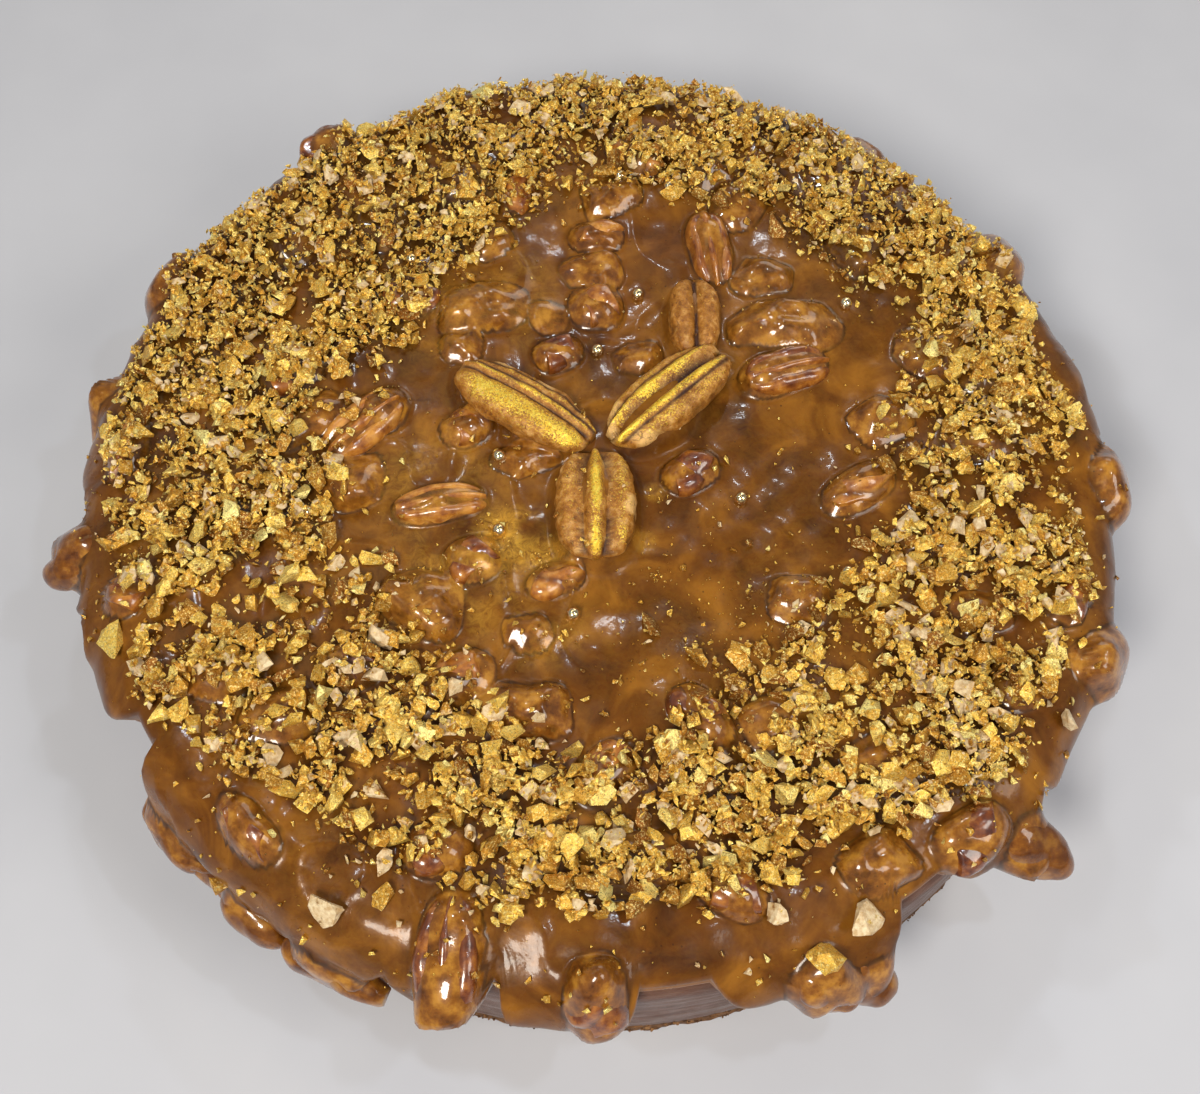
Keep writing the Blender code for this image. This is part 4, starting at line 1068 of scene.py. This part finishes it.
def turned_layer(name, node, slot, stations, columns, relief, material):
    """A round layer turned from (radius, height) stations, closed above and below."""
    angle = math.tau * np.arange(columns) / columns
    radius, height = np.array(stations).T[:, :, None]
    rings = np.stack((radius * np.cos(angle), radius * np.sin(angle), 0 * angle + height), -1)
    points = rings.reshape(-1, 3)
    outward = unit_rows(points * np.array((1.0, 1.0, 0.0)))
    points = points + outward * relief(points)[:, None]
    tips = ((0, 0, stations[0][1]), (0, 0, stations[-1][1]))
    vertices, faces = capped(points, len(stations), columns, *tips)
    faces = [face[::-1] for face in faces]
    make_piece(name, node, slot, vertices, faces, material, tone=np.zeros(len(vertices)))


def filling_piece():
    def relief(points):
        streaks = noise(points * np.array((0.12, 0.12, 1.0)), 1.6, 31) * 0.22
        dents = np.minimum(noise(points * np.array((0.5, 0.5, 1.0)), 9.0, 32), 0.0) * 0.35
        return (streaks + dents) * smooth_step((WALL_TOP + 1.0 - points[:, 2]) / 4.0)

    stations = []
    for step in np.linspace(0.0, 1.0, WALL_STEPS):
        height = BASE_HEIGHT + LAYER_GAP + (WALL_TOP - BASE_HEIGHT - LAYER_GAP) * step
        stations.append((FILLING_FOOT_RADIUS + (FILLING_RADIUS - FILLING_FOOT_RADIUS) * step, height))
    for step in range(1, SHOULDER_STEPS + 1):
        turn = math.pi / 2 * step / SHOULDER_STEPS
        reach = SHOULDER_START + SHOULDER_RADIUS * math.cos(turn)
        stations.append((reach, WALL_TOP + SHOULDER_RADIUS * math.sin(turn)))
    turned_layer("filling_body", "filling", "filling", stations, 420, relief, filling_material())


def crumb_base_piece():
    def relief(points):
        return noise(points, 2.4, 41) * 0.4 + noise(points, 1.1, 42) * 0.28 - 0.3

    stations = [(BASE_RADIUS - 0.8, 0.0), (BASE_RADIUS - 0.35, 0.25)]
    stations += [(BASE_RADIUS - 0.2, height) for height in np.linspace(0.7, BASE_HEIGHT - 0.4, 16)]
    stations += [(BASE_RADIUS - 0.7, BASE_HEIGHT)]
    turned_layer("crumb_base_body", "crumb_base", "crumb", stations, 720, relief, CRUMB)


def side_crumbs():
    """Coarse crumbs that stand out of the base's side."""
    draw = np.random.default_rng(77)
    prototypes = shard_prototypes(count=12, corners=9, cuts=0, seed=78, flatness=1.0)
    shapes, tones = [], []
    for _crumb in range(SIDE_CRUMBS):
        angle = draw.uniform(0.0, math.tau)
        size = draw.uniform(0.8, 2.4)
        height = draw.uniform(size / 2 + 0.05, BASE_HEIGHT - 0.3)
        radius = BASE_RADIUS - 0.45 * size + draw.uniform(0.0, 0.35)
        shape, faces = prototypes[draw.integers(len(prototypes))]
        points = turned(shape * size / 2, UPWARD, *draw.uniform(0, math.tau, 3))
        place = np.array((radius * math.cos(angle), radius * math.sin(angle), height))
        shapes.append((points + place, faces))
        tones.append((draw.uniform(-0.15, 0.2),))
    strewn_piece("base_crumbs", "crumb_base", "crumb", CRUMB, shapes, tones, ("tone",))


# Floor, lights and camera

# Half the floor's side in metres
FLOOR_HALF = 12.0


def floor_piece():
    shader = Shader("floor", Roughness=0.6)
    shader.set("Base Color", shader.ramp(
        shader.noise(60), ((0.3, (0.50, 0.51, 0.56)), (0.7, (0.54, 0.55, 0.60)))))
    mesh = bpy.data.meshes.new("floor")
    corners = [(x * FLOOR_HALF, y * FLOOR_HALF, 0.0) for x, y in ((-1, -1), (1, -1), (1, 1), (-1, 1))]
    mesh.from_pydata(corners, [], [(0, 1, 2, 3)])
    mesh.materials.append(shader.material)
    floor = bpy.data.objects.new("floor", mesh)
    bpy.context.scene.collection.objects.link(floor)


# Name, place and size in metres, power in watts, colour
LIGHTS = (
    ("key_front", (-0.22, -0.50, 0.72), 0.22, 5.6, (1.0, 0.94, 0.83)),
    ("soft_right", (0.48, -0.25, 0.58), 0.30, 2.0, (1.0, 0.95, 0.87)),
    ("soft_back", (0.25, 0.75, 0.38), 0.40, 1.2, (1.0, 0.92, 0.78)),
    ("crisp_left", (-0.30, 0.05, 0.55), 0.03, 0.34, (0.80, 0.90, 1.0)),
    ("crisp_right", (0.22, -0.05, 0.60), 0.025, 0.32, (0.80, 0.90, 1.0)),
    ("crisp_back", (0.02, 0.40, 0.60), 0.03, 0.34, (0.85, 0.93, 1.0)),
    ("warm_back", (-0.20, 0.30, 0.60), 0.24, 0.25, (1.0, 0.76, 0.36)),
)
# Height of the direction and colour there
SKY = ((0.0, (0.105, 0.107, 0.115)), (0.16, (0.34, 0.35, 0.37)), (0.7, (0.15, 0.15, 0.15)))
LIGHT_TARGET = Vector((0.0, 0.0, 0.03))


def studio():
    bpy.context.scene.view_settings.view_transform = "Standard"
    world = bpy.data.worlds.new("studio")
    bpy.context.scene.world = world
    world.use_nodes = True
    nodes, links = world.node_tree.nodes, world.node_tree.links
    coordinates = nodes.new("ShaderNodeTexCoord")
    separate = nodes.new("ShaderNodeSeparateXYZ")
    ramp = nodes.new("ShaderNodeValToRGB")
    ramp.color_ramp.elements.new(0.16)
    for element, (height, colour) in zip(ramp.color_ramp.elements, SKY):
        element.position = height
        element.color = (*colour, 1.0)
    links.new(coordinates.outputs["Generated"], separate.inputs["Vector"])
    links.new(separate.outputs["Z"], ramp.inputs["Fac"])
    links.new(ramp.outputs["Color"], nodes["Background"].inputs["Color"])
    nodes["Background"].inputs["Strength"].default_value = 1.0
    for name, place, size, power, colour in LIGHTS:
        light = bpy.data.lights.new(name, "AREA")
        light.size = size
        light.energy = power
        light.color = colour
        item = bpy.data.objects.new(name, light)
        item.location = place
        item.rotation_euler = (LIGHT_TARGET - item.location).to_track_quat("-Z", "Y").to_euler()
        bpy.context.scene.collection.objects.link(item)


FOCAL_LENGTH = 45.0
SENSOR_WIDTH = 36.0
CAMERA_PLACE = (0.00021, -0.15525, 0.35030)
CAMERA_PITCH = math.radians(65.34)
CAMERA_ROLL = math.radians(-2.0)


def photo_camera():
    camera = bpy.data.cameras.new("photo_camera")
    camera.lens = FOCAL_LENGTH
    camera.sensor_fit = "HORIZONTAL"
    camera.sensor_width = SENSOR_WIDTH
    camera.clip_start = 0.01
    item = bpy.data.objects.new("photo_camera", camera)
    pitched = Matrix.Rotation(math.pi / 2 - CAMERA_PITCH, 4, "X")
    item.matrix_world = Matrix.Translation(CAMERA_PLACE) @ pitched @ Matrix.Rotation(-CAMERA_ROLL, 4, "Z")
    bpy.context.scene.collection.objects.link(item)
    bpy.context.scene.camera = item


CARAMEL = caramel_material()
WET_PECAN = wet_pecan_material()
GOLDEN_PECAN = golden_pecan_material()
GOLD_CHIPS = gold_chip_material()
CRUMB = crumb_material()

surfaces = [caramel_piece(), hanging_pecans()]
surfaces += star_pecans()
surfaces += bare_pecans()
laid_heights = Heights(surfaces)
metallic_balls(laid_heights)
chopped_nuts(laid_heights)
filling_piece()
crumb_base_piece()
side_crumbs()
floor_piece()
studio()
photo_camera()
